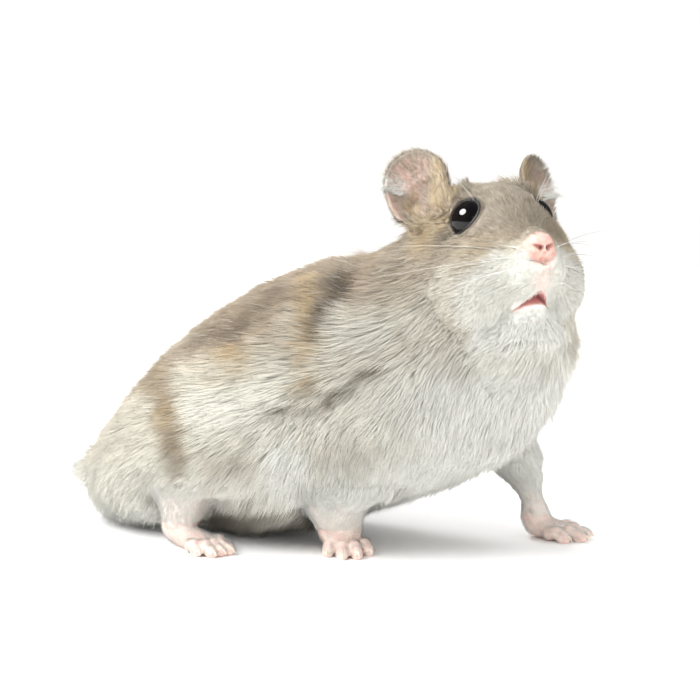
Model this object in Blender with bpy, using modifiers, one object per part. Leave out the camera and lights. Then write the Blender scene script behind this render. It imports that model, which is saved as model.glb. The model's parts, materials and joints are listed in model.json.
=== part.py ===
"""A life-size dwarf hamster, standing with its head raised and turned to its right.

The flesh is first one whole form: a lofted trunk, neck and skull, round masses for
cheeks and limbs, cupped ears and feet with toes, all melted together by a voxel
remesh.  It is then parted by thin gaps into the pieces that a person would name.
Every outline is the coat's own, out to the tips of the fur.

Lengths in the constants are millimetres: +X runs from rump to breast, +Y to the
animal's left, +Z up from the floor.  The head's shapes are given in its own axes,
forward, left and up from the tip of the nose.
"""

import math

import bmesh
import bpy
import numpy as np
from mathutils import Matrix, Vector

MM = 0.001
GAP = 0.3  # the slit between two neighbouring pieces

# Where the head sits, and how it is turned.
NOSE_TIP = (41.9, -18.0, 54.8)
HEAD_YAW = -42.5
HEAD_PITCH = 12.5
HEAD_ROLL = 1.4

# Trunk and neck: x, y, z of the section's centre, half width, half height.
TRUNK = [
    (-48.2, -1.5, 8.4, 6.4, 6.4),
    (-46.0, -1.4, 9.2, 10.0, 9.2),
    (-42.6, -1.2, 10.8, 13.8, 11.6),
    (-37.5, -1.0, 13.2, 17.4, 14.8),
    (-30.0, -1.0, 16.6, 20.6, 18.4),
    (-21.0, -1.0, 20.4, 22.6, 21.2),
    (-11.0, -1.0, 23.8, 23.2, 23.0),
    (-1.0, -1.0, 26.2, 22.8, 23.8),
    (8.0, -1.0, 28.0, 21.6, 22.4),
    (17.0, -0.5, 29.4, 19.8, 20.4),
    (25.0, 0.5, 30.4, 17.0, 17.6),
    (31.0, 1.5, 31.0, 13.4, 14.2),
    (36.0, 2.0, 31.6, 8.6, 9.0),
]
THROAT = ((29.5, 0.0, 38.0), (12.0, 12.5, 12.5))
NECK = [
    (4.0, -1.0, 34.0, 16.0, 14.0),
    (12.0, -1.4, 38.8, 15.6, 13.8),
    (18.5, -2.2, 44.2, 14.2, 12.6),
    (25.0, -4.6, 48.8, 12.4, 11.4),
]
BELLY_LEVEL = 0.9  # the lowest fur of belly and rump, just clear of the floor

# The head: sections from the nape to the muzzle, then masses as a centre and half
# sizes, all forward, left and up from the nose tip.
SKULL = [
    (-29.0, 0.0, 0.6, 11.8, 11.4),
    (-24.0, 0.0, 0.9, 12.7, 12.0),
    (-18.5, 0.0, 0.6, 12.9, 12.2),
    (-13.0, 0.0, -0.8, 11.4, 11.4),
    (-9.0, 0.0, -1.7, 9.2, 9.4),
    (-5.5, 0.0, -2.2, 7.0, 7.2),
    (-2.6, 0.0, -1.8, 5.0, 5.3),
    (-1.1, 0.0, -1.2, 3.4, 3.8),
]
CHEEK = ((-14.5, 6.8, -5.0), (9.0, 6.4, 7.8))  # on both sides
WHISKER_PAD = ((-4.0, 2.4, -4.2), (3.7, 2.9, 3.2))  # on both sides
CHIN = ((-8.2, 0.0, -10.4), (4.4, 3.8, 2.6))
JOWL = ((-15.0, 0.0, -16.4), (7.2, 8.8, 7.2))  # fur that fills the corner under the chin
EAR_FOOT = ((-21.5, 8.2, 6.6), (3.8, 3.4, 5.0))  # on both sides
EAR_FRONT = ((-18.2, 5.6, 8.8), (4.4, 4.4, 4.7))  # the fur ahead of each ear

NOSE_PAD = ((-0.9, 0.0, -0.2), (1.7, 2.3, 2.3))
MOUTH_LIP = [
    (-7.4, -3.4, -9.9, 0.35, 0.35),
    (-5.0, -1.9, -8.4, 1.0, 0.8),
    (-3.6, 0.0, -7.8, 1.4, 1.2),
    (-5.0, 1.9, -8.4, 1.0, 0.8),
    (-7.4, 3.4, -9.9, 0.35, 0.35),
]
MOUTH_ROOM = ((-6.6, 0.0, -8.7), (4.2, 2.5, 1.8))
TONGUE = ((-6.9, 0.0, -9.2), (3.3, 1.9, 0.85))

EYES = {"right": (-12.7, -6.3, 5.8), "left": (-12.8, 5.3, 5.4)}
EYE_RADIUS = 3.2

# Ears: a round cup, wider above than at its root.
EAR_CENTRES = {"right": (-21.5, -10.8, 11.9), "left": (-21.5, 9.9, 9.9)}  # one is held lower
EAR_HALF_WIDTH = 5.85
EAR_HALF_HEIGHT = 6.7
EAR_NARROWING = 0.25  # how much slimmer the root is than the widest place
EAR_THICKNESS = 1.0
EAR_TURN = {"right": 27.0, "left": 33.0}  # how far a cup faces away from straight ahead
EAR_LEAN = {"right": (0.02, 0.06, 1.0), "left": (0.0, 0.2, 1.0)}  # from root to tip

TAIL = [
    (-44.0, -1.5, 7.4, 3.4, 3.2),
    (-49.4, -1.5, 7.6, 2.4, 2.3),
    (-53.4, -1.6, 8.2, 1.7, 1.7),
]

# Limbs: centre line from shoulder or hip to wrist or ankle, with half sizes.
LEGS = {
    "foreleg_right": [(13.0, -12.5, 24.0, 9.2, 9.2), (6.0, -13.0, 13.5, 6.2, 6.2),
                      (3.2, -12.2, 8.5, 4.5, 4.5), (2.7, -9.9, 4.6, 3.7, 3.7)],
    "foreleg_left": [(18.0, 11.5, 25.0, 8.8, 8.8), (25.0, 13.5, 15.0, 5.4, 5.4),
                     (27.6, 14.6, 9.0, 3.0, 3.0), (28.8, 14.8, 4.4, 2.3, 2.3)],
    "hindleg_right": [(-24.0, -14.4, 18.0, 8.8, 8.8), (-22.4, -15.4, 13.6, 7.0, 7.0),
                      (-24.2, -16.8, 8.0, 4.0, 4.0), (-24.2, -16.8, 4.9, 2.9, 2.9)],
    "hindleg_left": [(-24.0, 12.4, 18.0, 8.8, 8.8), (-22.5, 13.0, 12.5, 7.4, 7.4),
                     (-26.0, 13.8, 7.5, 3.5, 3.5), (-26.2, 14.2, 4.9, 2.8, 2.8)],
}

# Feet: their make, then the heel's place on the floor and the way the toes point.
FOREFOOT = dict(length=9.6, width=6.4, heel=2.2, toes=4, spread=17.0, toe_length=4.3, toe_radius=1.22)
HINDFOOT = dict(length=14.2, width=6.0, heel=2.6, toes=5, spread=15.0, toe_length=4.6, toe_radius=1.10)
FEET = {
    "forefoot_right": (FOREFOOT, (2.5, -7.9), -58.0),
    "forefoot_left": (FOREFOOT, (29.0, 14.8), 3.0),
    "hindfoot_right": (HINDFOOT, (-25.4, -16.6), -26.0),
    "hindfoot_left": (HINDFOOT, (-27.0, 13.6), 20.0),
}
CLAW_LENGTH = 1.5
CLAW_RADIUS = 0.36

# Loose shapes that each hold the part to be freed from the rest.
HEAD_REGION = ((-8.0, 0.0, 1.0), (19.5, 24.0, 18.0))
NECK_REGION = ((22.5, -2.0, 44.5), (15.0, 32.0, 20.0))
NECK_REGION_TILT = -25.0
NOSE_REGION = ((0.5, 0.0, -0.2), (2.6, 2.9, 3.1))
TAIL_REGION = ((-54.6, -1.5, 8.0), (5.6, 5.0, 5.0))
LEG_SPARE = 2.8  # how far a leg's region stands out from the leg
FOOT_REGION_HALF_WIDTH = 6.4
FOOT_REGION_HALF_HEIGHT = 4.6

CLAY_VOXEL = 0.55
CLAY_SMOOTHING = 46
CLAY_TRIANGLES = 60000
FLESH_VOXEL = 0.3
FLESH_SMOOTHING = 7
FLESH_TRIANGLES = 3680
FLAT_ANGLE = 3.0

COLOURS = {
    "coat": (0.42, 0.36, 0.29),
    "pale coat": (0.72, 0.68, 0.62),
    "bare skin": (0.80, 0.52, 0.46),
    "eye": (0.01, 0.01, 0.012),
}
ROUGHNESS = {"coat": 0.85, "pale coat": 0.85, "bare skin": 0.5, "eye": 0.05}


def new_collection(name):
    collection = bpy.data.collections.new(name)
    bpy.context.scene.collection.children.link(collection)
    return collection


def object_from(shape, name, collection):
    """Turns a bmesh into an object of the collection."""
    bmesh.ops.recalc_face_normals(shape, faces=shape.faces[:])
    mesh = bpy.data.meshes.new(name)
    shape.to_mesh(mesh)
    shape.free()
    piece = bpy.data.objects.new(name, mesh)
    collection.objects.link(piece)
    return piece


def settled(piece):
    """Replaces an object's mesh with what its modifiers make of it."""
    graph = bpy.context.evaluated_depsgraph_get()
    mesh = bpy.data.meshes.new_from_object(piece.evaluated_get(graph))
    piece.modifiers.clear()
    piece.data = mesh
    return piece


def head_axes():
    """The head's place: its own axes, in millimetres, set at the nose tip."""
    turn = Matrix.Rotation(math.radians(HEAD_YAW), 4, "Z")
    tip = Matrix.Rotation(math.radians(-HEAD_PITCH), 4, "Y")
    roll = Matrix.Rotation(math.radians(HEAD_ROLL), 4, "X")
    return Matrix.Translation(Vector(NOSE_TIP)) @ turn @ tip @ roll


WORLD = Matrix.Identity(4)
HEAD = head_axes()


def egg(shape, mass, axes=WORLD, side=1.0, grow=0.0, tilt=0.0, segments=32):
    """Adds an ellipsoid: mass is its centre and half sizes, tilt turns it about Y."""
    centre, sizes = mass
    place = Matrix.Translation((centre[0], centre[1] * side, centre[2]))
    place = place @ Matrix.Rotation(math.radians(tilt), 4, "Y")
    stretch = Matrix.Diagonal([size + grow for size in sizes] + [1.0])
    matrix = Matrix.Scale(MM, 4) @ axes @ place @ stretch
    bmesh.ops.create_uvsphere(shape, u_segments=segments, v_segments=segments * 5 // 8, radius=1.0,
                              matrix=matrix)


def smooth_stations(stations, steps):
    """Puts steps rows between neighbouring stations, along a Catmull-Rom curve."""
    knots = np.array([stations[0], *stations, stations[-1]], dtype=float)
    rows = []
    for before, start, end, after in zip(knots, knots[1:], knots[2:], knots[3:]):
        for step in range(steps):
            t = step / steps
            rows.append(0.5 * (2 * start + (end - before) * t
                               + (2 * before - 5 * start + 4 * end - after) * t ** 2
                               + (3 * start - before - 3 * end + after) * t ** 3))
    rows.append(knots[-1])
    return np.array(rows)


def sweep(shape, stations, axes=WORLD, up=(0.0, 0.0, 1.0), square=None, blunt=1.0, grow=0.0, steps=5,
          sides=28, rounds=5):
    """Adds a round-ended loft of ellipses along a smooth line of stations.

    The ellipses stand across the line, or across the square direction where one is given.
    """
    rows = smooth_stations(stations, steps)
    centres, half_sizes = rows[:, :3], rows[:, 3:] + grow
    along = np.gradient(centres, axis=0)
    along /= np.linalg.norm(along, axis=1, keepdims=True)
    if square:
        along[:] = square
    cap = np.linspace(0.15, 1.0, rounds + 1)[:-1] * math.pi / 2
    start = [(centres[0] - along[0] * half_sizes[0].min() * math.cos(a) * blunt, along[0],
              half_sizes[0] * math.sin(a)) for a in cap]
    middle = list(zip(centres, along, half_sizes))
    end = [(centres[-1] + along[-1] * half_sizes[-1].min() * math.cos(a) * blunt, along[-1],
            half_sizes[-1] * math.sin(a)) for a in cap[::-1]]
    rings = []
    for centre, ahead, (half_width, half_height) in start + middle + end:
        side = np.cross(up, ahead)
        side /= np.linalg.norm(side)
        above = np.cross(ahead, side)
        ring = []
        for step in range(sides):
            angle = 2 * math.pi * step / sides
            point = centre + side * half_width * math.cos(angle) + above * half_height * math.sin(angle)
            ring.append(shape.verts.new((axes @ Vector(point)) * MM))
        rings.append(ring)
    for ring, beyond in zip(rings, rings[1:]):
        for a in range(sides):
            b = (a + 1) % sides
            shape.faces.new((ring[a], ring[b], beyond[b], beyond[a]))
    shape.faces.new(rings[0])
    shape.faces.new(rings[-1])


def melted(piece, voxel, smoothing, triangles):
    """Melts overlapping shells into one skin, smooths it and thins it out."""
    remesh = piece.modifiers.new("Melt", "REMESH")
    remesh.mode = "VOXEL"
    remesh.voxel_size = voxel * MM
    smooth = piece.modifiers.new("Smooth", "SMOOTH")
    smooth.factor = 0.5
    smooth.iterations = smoothing
    settled(piece)
    return thinned(piece, triangles)


def thinned(piece, triangles):
    found = sum(len(face.vertices) - 2 for face in piece.data.polygons)
    thin = piece.modifiers.new("Thin", "DECIMATE")
    thin.ratio = min(1.0, triangles / found)
    thin.use_collapse_triangulate = True
    return settled(piece)


def carve(piece, cutter, operation="DIFFERENCE"):
    """Cuts one object with another, and keeps the largest body that is left."""
    tool = piece.modifiers.new("Carve", "BOOLEAN")
    tool.operation = operation
    tool.solver = "EXACT"
    tool.object = cutter
    settled(piece)
    shape = bmesh.new()
    shape.from_mesh(piece.data)
    bmesh.ops.triangulate(shape, faces=shape.faces[:])
    bmesh.ops.dissolve_degenerate(shape, dist=1e-6, edges=shape.edges[:])
    islands = []
    unseen = set(shape.verts)
    while unseen:
        island, edge = set(), [unseen.pop()]
        while edge:
            vert = edge.pop()
            island.add(vert)
            near = {link.other_vert(vert) for link in vert.link_edges} & unseen
            unseen -= near
            edge.extend(near)
        islands.append(island)
    islands.sort(key=len)
    crumbs = [vert for island in islands[:-1] for vert in island]
    bmesh.ops.delete(shape, geom=crumbs, context="VERTS")
    shape.to_mesh(piece.data)
    shape.free()
    return piece


def tidied(piece):
    """Merges faces that all but lie in one plane, and drops slivers."""
    flatten = piece.modifiers.new("Flatten", "DECIMATE")
    flatten.decimate_type = "DISSOLVE"
    flatten.angle_limit = math.radians(FLAT_ANGLE)
    flatten.use_dissolve_boundaries = False
    settled(piece)
    shape = bmesh.new()
    shape.from_mesh(piece.data)
    bmesh.ops.triangulate(shape, faces=shape.faces[:])
    shape.to_mesh(piece.data)
    shape.free()
    return piece


def copy_of(piece, name, collection):
    twin = bpy.data.objects.new(name, piece.data.copy())
    collection.objects.link(twin)
    return twin


def slab_below(level, name, collection):
    """A slab whose top is at the level, for trimming what hangs lower."""
    shape = bmesh.new()
    size, depth = 300.0, 60.0
    place = Matrix.Translation((0.0, 0.0, level - depth / 2))
    stretch = Matrix.Diagonal((size, size, depth, 1.0))
    bmesh.ops.create_cube(shape, size=1.0, matrix=Matrix.Scale(MM, 4) @ place @ stretch)
    return object_from(shape, name, collection)


def make_clay(guides):
    """The large masses, melted soft."""
    shape = bmesh.new()
    sweep(shape, TRUNK, square=(1.0, 0.0, 0.0), blunt=0.35)
    trunk = object_from(shape, "trunk_clay", guides)
    carve(trunk, slab_below(BELLY_LEVEL, "belly_slab", guides))
    shape = bmesh.new()
    shape.from_mesh(trunk.data)
    sweep(shape, NECK)
    egg(shape, THROAT)
    sweep(shape, SKULL, HEAD, blunt=0.5)
    for side in (1.0, -1.0):
        egg(shape, CHEEK, HEAD, side)
    for stations in LEGS.values():
        sweep(shape, stations, up=(1.0, 0.0, 0.0))
    return melted(object_from(shape, "clay", guides), CLAY_VOXEL, CLAY_SMOOTHING, CLAY_TRIANGLES)


def make_flesh(guides):
    """The clay with its small masses, ears, feet and tail, as one form on the floor."""
    shape = bmesh.new()
    shape.from_mesh(make_clay(guides).data)
    for mass in (WHISKER_PAD, EAR_FOOT, EAR_FRONT):
        for side in (1.0, -1.0):
            egg(shape, mass, HEAD, side)
    for mass in (CHIN, JOWL, NOSE_PAD):
        egg(shape, mass, HEAD)
    for side in ("left", "right"):
        shape.from_mesh(make_ear(side, guides).data)
    for make, heel, heading in FEET.values():
        add_foot(shape, make, heel, heading)
    sweep(shape, TAIL, sides=16)
    flesh = melted(object_from(shape, "flesh", guides), FLESH_VOXEL, FLESH_SMOOTHING, FLESH_TRIANGLES)
    return carve(flesh, slab_below(0.0, "floor_slab", guides))


def ear_axes(side):
    """The ear's own directions in the head's axes: outward, to its tip, and its facing."""
    sign = 1.0 if side == "left" else -1.0
    lean = EAR_LEAN[side]
    tip = Vector((lean[0], lean[1] * sign, lean[2])).normalized()
    turn = math.radians(EAR_TURN[side])
    facing = Vector((math.cos(turn), math.sin(turn) * sign, 0.0))
    facing = (facing - tip * facing.dot(tip)).normalized()
    outward = facing.cross(tip) * -sign
    return Vector(EAR_CENTRES[side]), outward, tip, facing


def make_ear(side, guides):
    """A thin round cup: a domed disc with its edge carried forward, given thickness."""
    centre, outward, tip, facing = ear_axes(side)
    rings, spokes = 6, 30
    shape = bmesh.new()

    def point(reach, angle):
        low = (1.0 - math.sin(angle)) / 2
        across = math.cos(angle) * EAR_HALF_WIDTH * (1.0 - EAR_NARROWING * low) * reach
        along = math.sin(angle) * EAR_HALF_HEIGHT * reach
        front = max(0.0, -math.cos(angle))
        lift = (1.1 + 3.6 * low ** 1.5 + 1.0 * front) * reach ** 2
        place = centre + outward * across + tip * along + facing * (lift - 1.4)
        return shape.verts.new((HEAD @ place) * MM)

    middle = point(0.0, 0.0)
    hoops = [[point(ring / rings, 2 * math.pi * spoke / spokes) for spoke in range(spokes)]
             for ring in range(1, rings + 1)]
    for a in range(spokes):
        b = (a + 1) % spokes
        shape.faces.new((middle, hoops[0][a], hoops[0][b]))
        for hoop, beyond in zip(hoops, hoops[1:]):
            shape.faces.new((hoop[a], beyond[a], beyond[b], hoop[b]))
    ear = object_from(shape, "ear_shell_" + side, guides)
    shell = ear.modifiers.new("Thickness", "SOLIDIFY")
    shell.thickness = EAR_THICKNESS * MM
    shell.offset = 0.0
    return settled(ear)


def foot_axes(heel, heading):
    return Matrix.Translation((heel[0], heel[1], 0.0)) @ Matrix.Rotation(math.radians(heading), 4, "Z")


def toe_lines(make):
    """Each toe as root, direction and length, in the foot's own axes."""
    ball = make["length"] - make["toe_length"] - 0.8
    for toe in range(make["toes"]):
        share = 2 * toe / (make["toes"] - 1) - 1
        outer = abs(share) > 0.9
        angle = math.radians(make["spread"]) * share
        ahead = Vector((math.cos(angle), math.sin(angle), 0.0))
        root = Vector((ball - (1.3 if outer else 0.2), share * make["width"] * 0.39, 0.0))
        yield root, ahead, make["toe_length"] * (0.74 if outer else 1.0)


def add_foot(shape, make, heel, heading):
    """Adds a sole and its toes, each with a raised knuckle and a low tip."""
    axes = foot_axes(heel, heading)
    half = make["width"] / 2
    ball = make["length"] - make["toe_length"] - 0.8
    sweep(shape, [(-0.2, 0.0, make["heel"] + 1.6, half * 0.80, half * 0.80),
                  (0.3, 0.0, make["heel"], half * 0.80, 2.1),
                  (ball * 0.5, 0.0, 1.65, half * 0.86, 1.95),
                  (ball, 0.0, 1.15, half * 1.02, 1.45)], axes, steps=4, sides=20)
    radius = make["toe_radius"]
    knuckles = [(0.0, 1.25, 0.95), (0.45, 1.45, 1.0), (0.8, 0.95, 0.88), (1.0, 0.7, 0.88)]
    for root, ahead, reach in toe_lines(make):
        stations = []
        for part, height, size in knuckles:
            spot = root + ahead * reach * part
            stations.append((spot.x, spot.y, height, radius * size, radius * size))
        sweep(shape, stations, axes, steps=3, sides=12)


def add_claws(shape, make, heel, heading):
    """Adds one short claw in front of each toe, pointing a little down."""
    axes = foot_axes(heel, heading)
    for root, ahead, reach in toe_lines(make):
        middle = root + ahead * (reach + make["toe_radius"] * 0.45 + CLAW_LENGTH / 2)
        middle.z = 0.75
        lean = Vector((ahead.x, ahead.y, -0.2)).to_track_quat("Z", "Y").to_matrix().to_4x4()
        matrix = Matrix.Scale(MM, 4) @ axes @ Matrix.Translation(middle) @ lean
        bmesh.ops.create_cone(shape, cap_ends=True, segments=5, radius1=CLAW_RADIUS,
                              radius2=CLAW_RADIUS * 0.6, depth=CLAW_LENGTH, matrix=matrix)


def region(name, guides, mass, axes=WORLD, side=1.0, grow=0.0, tilt=0.0, segments=10):
    shape = bmesh.new()
    egg(shape, mass, axes, side, grow, tilt, segments)
    return object_from(shape, name, guides)


def leg_region(name, guides, grow):
    shape = bmesh.new()
    sweep(shape, LEGS[name], up=(1.0, 0.0, 0.0), grow=LEG_SPARE + grow, steps=1, sides=9, rounds=2)
    return object_from(shape, name + "_region", guides)


def foot_region(name, guides, grow):
    make, heel, heading = FEET[name]
    half = make["length"] / 2
    mass = ((half - 0.2, 0.0, 0.0), (half + 3.4, FOOT_REGION_HALF_WIDTH, FOOT_REGION_HALF_HEIGHT))
    return region(name + "_region", guides, mass, foot_axes(heel, heading), grow=grow)


def ear_region(side, guides, grow):
    centre, outward, tip, facing = ear_axes(side)
    axes = Matrix((outward, tip, facing)).transposed().to_4x4()
    axes.translation = centre
    mass = ((0.0, 0.6, 0.4), (EAR_HALF_WIDTH + 1.3, EAR_HALF_HEIGHT + 1.2, 5.2))
    return region("ear_region_" + side, guides, mass, HEAD @ axes, grow=grow)


def body_regions(guides, grow):
    """The regions in the order in which they take their part from the body."""
    return {
        "nose": region("nose_region", guides, NOSE_REGION, HEAD, grow=grow),
        "ear_left": ear_region("left", guides, grow),
        "ear_right": ear_region("right", guides, grow),
        "head": region("head_region", guides, HEAD_REGION, HEAD, grow=grow, segments=12),
        "neck": region("neck_region", guides, NECK_REGION, grow=grow, tilt=NECK_REGION_TILT, segments=12),
        "tail": region("tail_region", guides, TAIL_REGION, grow=grow),
        **{name: foot_region(name, guides, grow) for name in FEET},
        **{name: leg_region(name, guides, grow) for name in LEGS},
    }


def part_body(flesh, guides, shown):
    """Frees each part where its region and the flesh meet, a gap away from the rest."""
    tight, loose = body_regions(guides, 0.0), body_regions(guides, GAP)
    rest = copy_of(flesh, "trunk", shown)
    pieces = {}
    for name, cutter in tight.items():
        piece = copy_of(rest, name, shown)
        carve(piece, cutter, "INTERSECT")
        carve(rest, loose[name])
        pieces[name] = piece
    pieces["trunk"] = rest
    return pieces


def make_eye(side, shown):
    shape = bmesh.new()
    egg(shape, (EYES[side], [EYE_RADIUS] * 3), HEAD, segments=16)
    return object_from(shape, "eye_" + side, shown)


def make_tongue(shown):
    shape = bmesh.new()
    egg(shape, TONGUE, HEAD, segments=10)
    return object_from(shape, "tongue", shown)


def hollow_head(head, guides):
    """Eye sockets and the open mouth."""
    for eye in EYES.values():
        socket = region("socket", guides, (eye, [EYE_RADIUS] * 3), HEAD, grow=GAP, segments=16)
        carve(head, socket)
    carve(head, region("mouth_room", guides, MOUTH_ROOM, HEAD))
    shape = bmesh.new()
    sweep(shape, MOUTH_LIP, HEAD, steps=2, sides=8, rounds=1)
    carve(head, object_from(shape, "mouth_slit", guides))


def centre_on_floor(pieces):
    """Moves the animal so that the middle of its outline's box is over the origin."""
    spots = np.array([vert.co for piece in pieces.values() for vert in piece.data.vertices])
    middle = (spots.min(axis=0) + spots.max(axis=0)) / 2
    away = Matrix.Translation((-middle[0], -middle[1], 0.0))
    for piece in pieces.values():
        piece.data.transform(away)


def paint(pieces):
    """Gives every piece its own plain material."""
    bare = ("ear", "nose", "tongue", "forefoot", "hindfoot", "tail")
    for name, piece in pieces.items():
        kind = "coat"
        if name.startswith(bare):
            kind = "bare skin"
        elif name.startswith("eye"):
            kind = "eye"
        elif name.startswith(("foreleg", "hindleg")):
            kind = "pale coat"
        material = bpy.data.materials.new(name)
        material.use_nodes = True
        shader = material.node_tree.nodes["Principled BSDF"]
        shader.inputs["Base Color"].default_value = (*COLOURS[kind], 1.0)
        shader.inputs["Roughness"].default_value = ROUGHNESS[kind]
        shader.inputs["Metallic"].default_value = 0.0
        piece.data.materials.clear()
        piece.data.materials.append(material)


def main():
    for old in list(bpy.data.objects):
        bpy.data.objects.remove(old)
    guides = new_collection("guides")
    guides.hide_render = True
    shown = new_collection("hamster")
    pieces = part_body(make_flesh(guides), guides, shown)
    hollow_head(pieces["head"], guides)
    for side in ("left", "right"):
        pieces["eye_" + side] = make_eye(side, shown)
    pieces["tongue"] = make_tongue(shown)
    for name, (make, heel, heading) in FEET.items():
        shape = bmesh.new()
        add_claws(shape, make, heel, heading)
        carve(pieces[name], object_from(shape, name + "_claws", guides), "UNION")
    for piece in pieces.values():
        tidied(piece)
    centre_on_floor(pieces)
    paint(pieces)


main()
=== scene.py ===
# %% [markdown]
# # A dwarf hamster, life size
# A still model for a museum shelf: a small hamster that stands on four feet, with its head
# raised and turned to its right. The frame holds the solids that MuJoCo uses. This script
# lays one skin inside them, grows a coat of solid tufts on it, and gives it eyes,
# whiskers and claws. Lengths are millimetres in the lists and metres in the meshes.

# %% The frame
import json
import math
from functools import reduce

import bmesh
import bpy
import numpy as np
from mathutils import Matrix, Vector
from mathutils.bvhtree import BVHTree

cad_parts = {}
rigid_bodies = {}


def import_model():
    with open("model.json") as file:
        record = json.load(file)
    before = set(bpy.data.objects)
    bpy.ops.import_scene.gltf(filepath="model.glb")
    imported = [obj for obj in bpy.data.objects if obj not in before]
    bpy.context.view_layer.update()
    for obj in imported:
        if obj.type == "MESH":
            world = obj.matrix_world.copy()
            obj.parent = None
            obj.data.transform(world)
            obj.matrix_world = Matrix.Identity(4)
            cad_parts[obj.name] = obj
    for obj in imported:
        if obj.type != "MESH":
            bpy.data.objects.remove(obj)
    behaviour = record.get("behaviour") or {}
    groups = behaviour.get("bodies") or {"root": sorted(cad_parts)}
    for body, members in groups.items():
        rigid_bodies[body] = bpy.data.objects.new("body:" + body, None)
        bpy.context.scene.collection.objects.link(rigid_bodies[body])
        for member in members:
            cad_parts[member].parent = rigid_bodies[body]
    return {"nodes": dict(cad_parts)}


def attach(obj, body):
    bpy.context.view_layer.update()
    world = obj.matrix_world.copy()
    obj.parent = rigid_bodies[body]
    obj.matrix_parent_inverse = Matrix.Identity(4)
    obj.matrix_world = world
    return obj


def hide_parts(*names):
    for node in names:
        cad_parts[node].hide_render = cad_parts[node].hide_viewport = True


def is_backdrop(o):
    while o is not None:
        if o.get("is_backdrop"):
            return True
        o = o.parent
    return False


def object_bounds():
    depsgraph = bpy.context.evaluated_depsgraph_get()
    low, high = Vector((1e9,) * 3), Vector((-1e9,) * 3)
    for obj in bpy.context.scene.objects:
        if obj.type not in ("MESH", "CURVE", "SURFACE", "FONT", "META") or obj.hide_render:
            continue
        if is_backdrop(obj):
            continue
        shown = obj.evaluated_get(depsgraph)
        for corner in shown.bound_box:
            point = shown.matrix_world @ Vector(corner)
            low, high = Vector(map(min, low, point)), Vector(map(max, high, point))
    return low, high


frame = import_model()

MM = 0.001
cad_low, cad_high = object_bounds()
print("the solids fill", [round((b - a) / MM, 1) for a, b in zip(cad_low, cad_high)], "mm")

# %% [markdown]
# ## Camera, floor and light
# The animal is seen from its right and a little from the front, from just above the
# floor. A long lens keeps it undistorted. The light is a white photographer's table: a
# bright sky all round and five soft lamps, of which the key is the strongest, so that
# the only shadow is a soft one under the belly.

# %% Camera
LOOK_AT = Vector((5.16, 1.96, 33.0)) * MM
LOOK_DISTANCE = 420.0 * MM


def seen_from(azimuth, elevation):
    """The way from the animal to a camera or lamp, by angles in degrees."""
    around, above = math.radians(azimuth), math.radians(elevation)
    return Vector((math.sin(around) * math.cos(above), -math.cos(around) * math.cos(above),
                   math.sin(above)))


def put_in_scene(name, data):
    made = bpy.data.objects.new(name, data)
    bpy.context.scene.collection.objects.link(made)
    return made


camera = put_in_scene("camera", bpy.data.cameras.new("camera"))
camera.data.lens = 125.3
camera.data.sensor_width = 36.0
camera.data.clip_start = 0.01
backwards = seen_from(25.0, 8.0)
camera.location = LOOK_AT + backwards * LOOK_DISTANCE
camera.rotation_mode = "QUATERNION"
camera.rotation_quaternion = (-backwards).to_track_quat("-Z", "Y")
bpy.context.scene.camera = camera
print("camera at", [round(value / MM) for value in camera.location], "mm")

# %% Lights
LAMPS = {  # azimuth, elevation, distance, size and power
    "key": (-30.0, 50.0, 0.9, 0.60, 6.8), "fill": (62.0, 8.0, 1.0, 0.60, 1.8),
    "low": (-70.0, 5.0, 0.9, 0.50, 3.8), "back": (-128.0, 44.0, 1.0, 0.34, 5.0),
    "front": (20.0, 3.0, 1.0, 0.50, 0.9), "catch light": (-29.0, 48.0, 0.8, 0.50, 20.0),
}
LAMPS_FACE = Vector((0.0, 0.0, 0.03))
bpy.context.scene.view_settings.view_transform = "Standard"
for name, (azimuth, elevation, distance, size, power) in LAMPS.items():
    light = bpy.data.lights.new(name, "AREA")
    light.size = size
    light.energy = power
    holder = put_in_scene(name, light)
    away = seen_from(azimuth, elevation)
    holder.location = LAMPS_FACE + away * distance
    holder.rotation_mode = "QUATERNION"
    holder.rotation_quaternion = away.to_track_quat("Z", "Y")
    holder.visible_glossy = name in ("fill", "catch light")
# The catch light touches only gloss: it is the bright spot in each wet black eye.
light.shape = "DISK"
holder.visible_diffuse = False
world = bpy.data.worlds.new("white room")
world.use_nodes = True
sky = world.node_tree.nodes["Background"]
sky.inputs["Color"].default_value = (1.0, 0.995, 0.985, 1.0)
# The room is white to look at and on fur, and hardly mirrored by wet things.
rays = world.node_tree.nodes.new("ShaderNodeLightPath")
strength = None
for output, level in (("Is Camera Ray", 1.02), ("Is Glossy Ray", 0.20)):
    change = world.node_tree.nodes.new("ShaderNodeMix")
    change.inputs["A"].default_value = 1.02
    change.inputs["B"].default_value = level
    world.node_tree.links.new(rays.outputs[output], change.inputs["Factor"])
    if strength:
        world.node_tree.links.new(strength, change.inputs["A"])
    strength = change.outputs[0]
world.node_tree.links.new(strength, sky.inputs["Strength"])
bpy.context.scene.world = world
print("five soft lamps, a catch light and a white room")

# %% [markdown]
# ## The head's own axes
# A face is easiest to lay out as if the animal looked straight ahead, so the head's
# shapes are given forward, left and up from the tip of its nose, and one matrix carries
# them to where the head is held.

# %% The head's place
TO_FRAME = Vector((5.16, 1.96, 0.0))  # the pose was laid out this far from the frame's middle
NOSE_TIP = Vector((41.9, -18.0, 54.8)) + TO_FRAME
HEAD_YAW, HEAD_PITCH, HEAD_ROLL = -42.5, 12.5, 1.4

HEAD = (Matrix.Translation(NOSE_TIP) @ Matrix.Rotation(math.radians(HEAD_YAW), 4, "Z")
        @ Matrix.Rotation(math.radians(-HEAD_PITCH), 4, "Y")
        @ Matrix.Rotation(math.radians(HEAD_ROLL), 4, "X"))
BODY = Matrix.Translation(TO_FRAME)
HEAD_TURN = np.array(HEAD.to_3x3())


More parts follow.
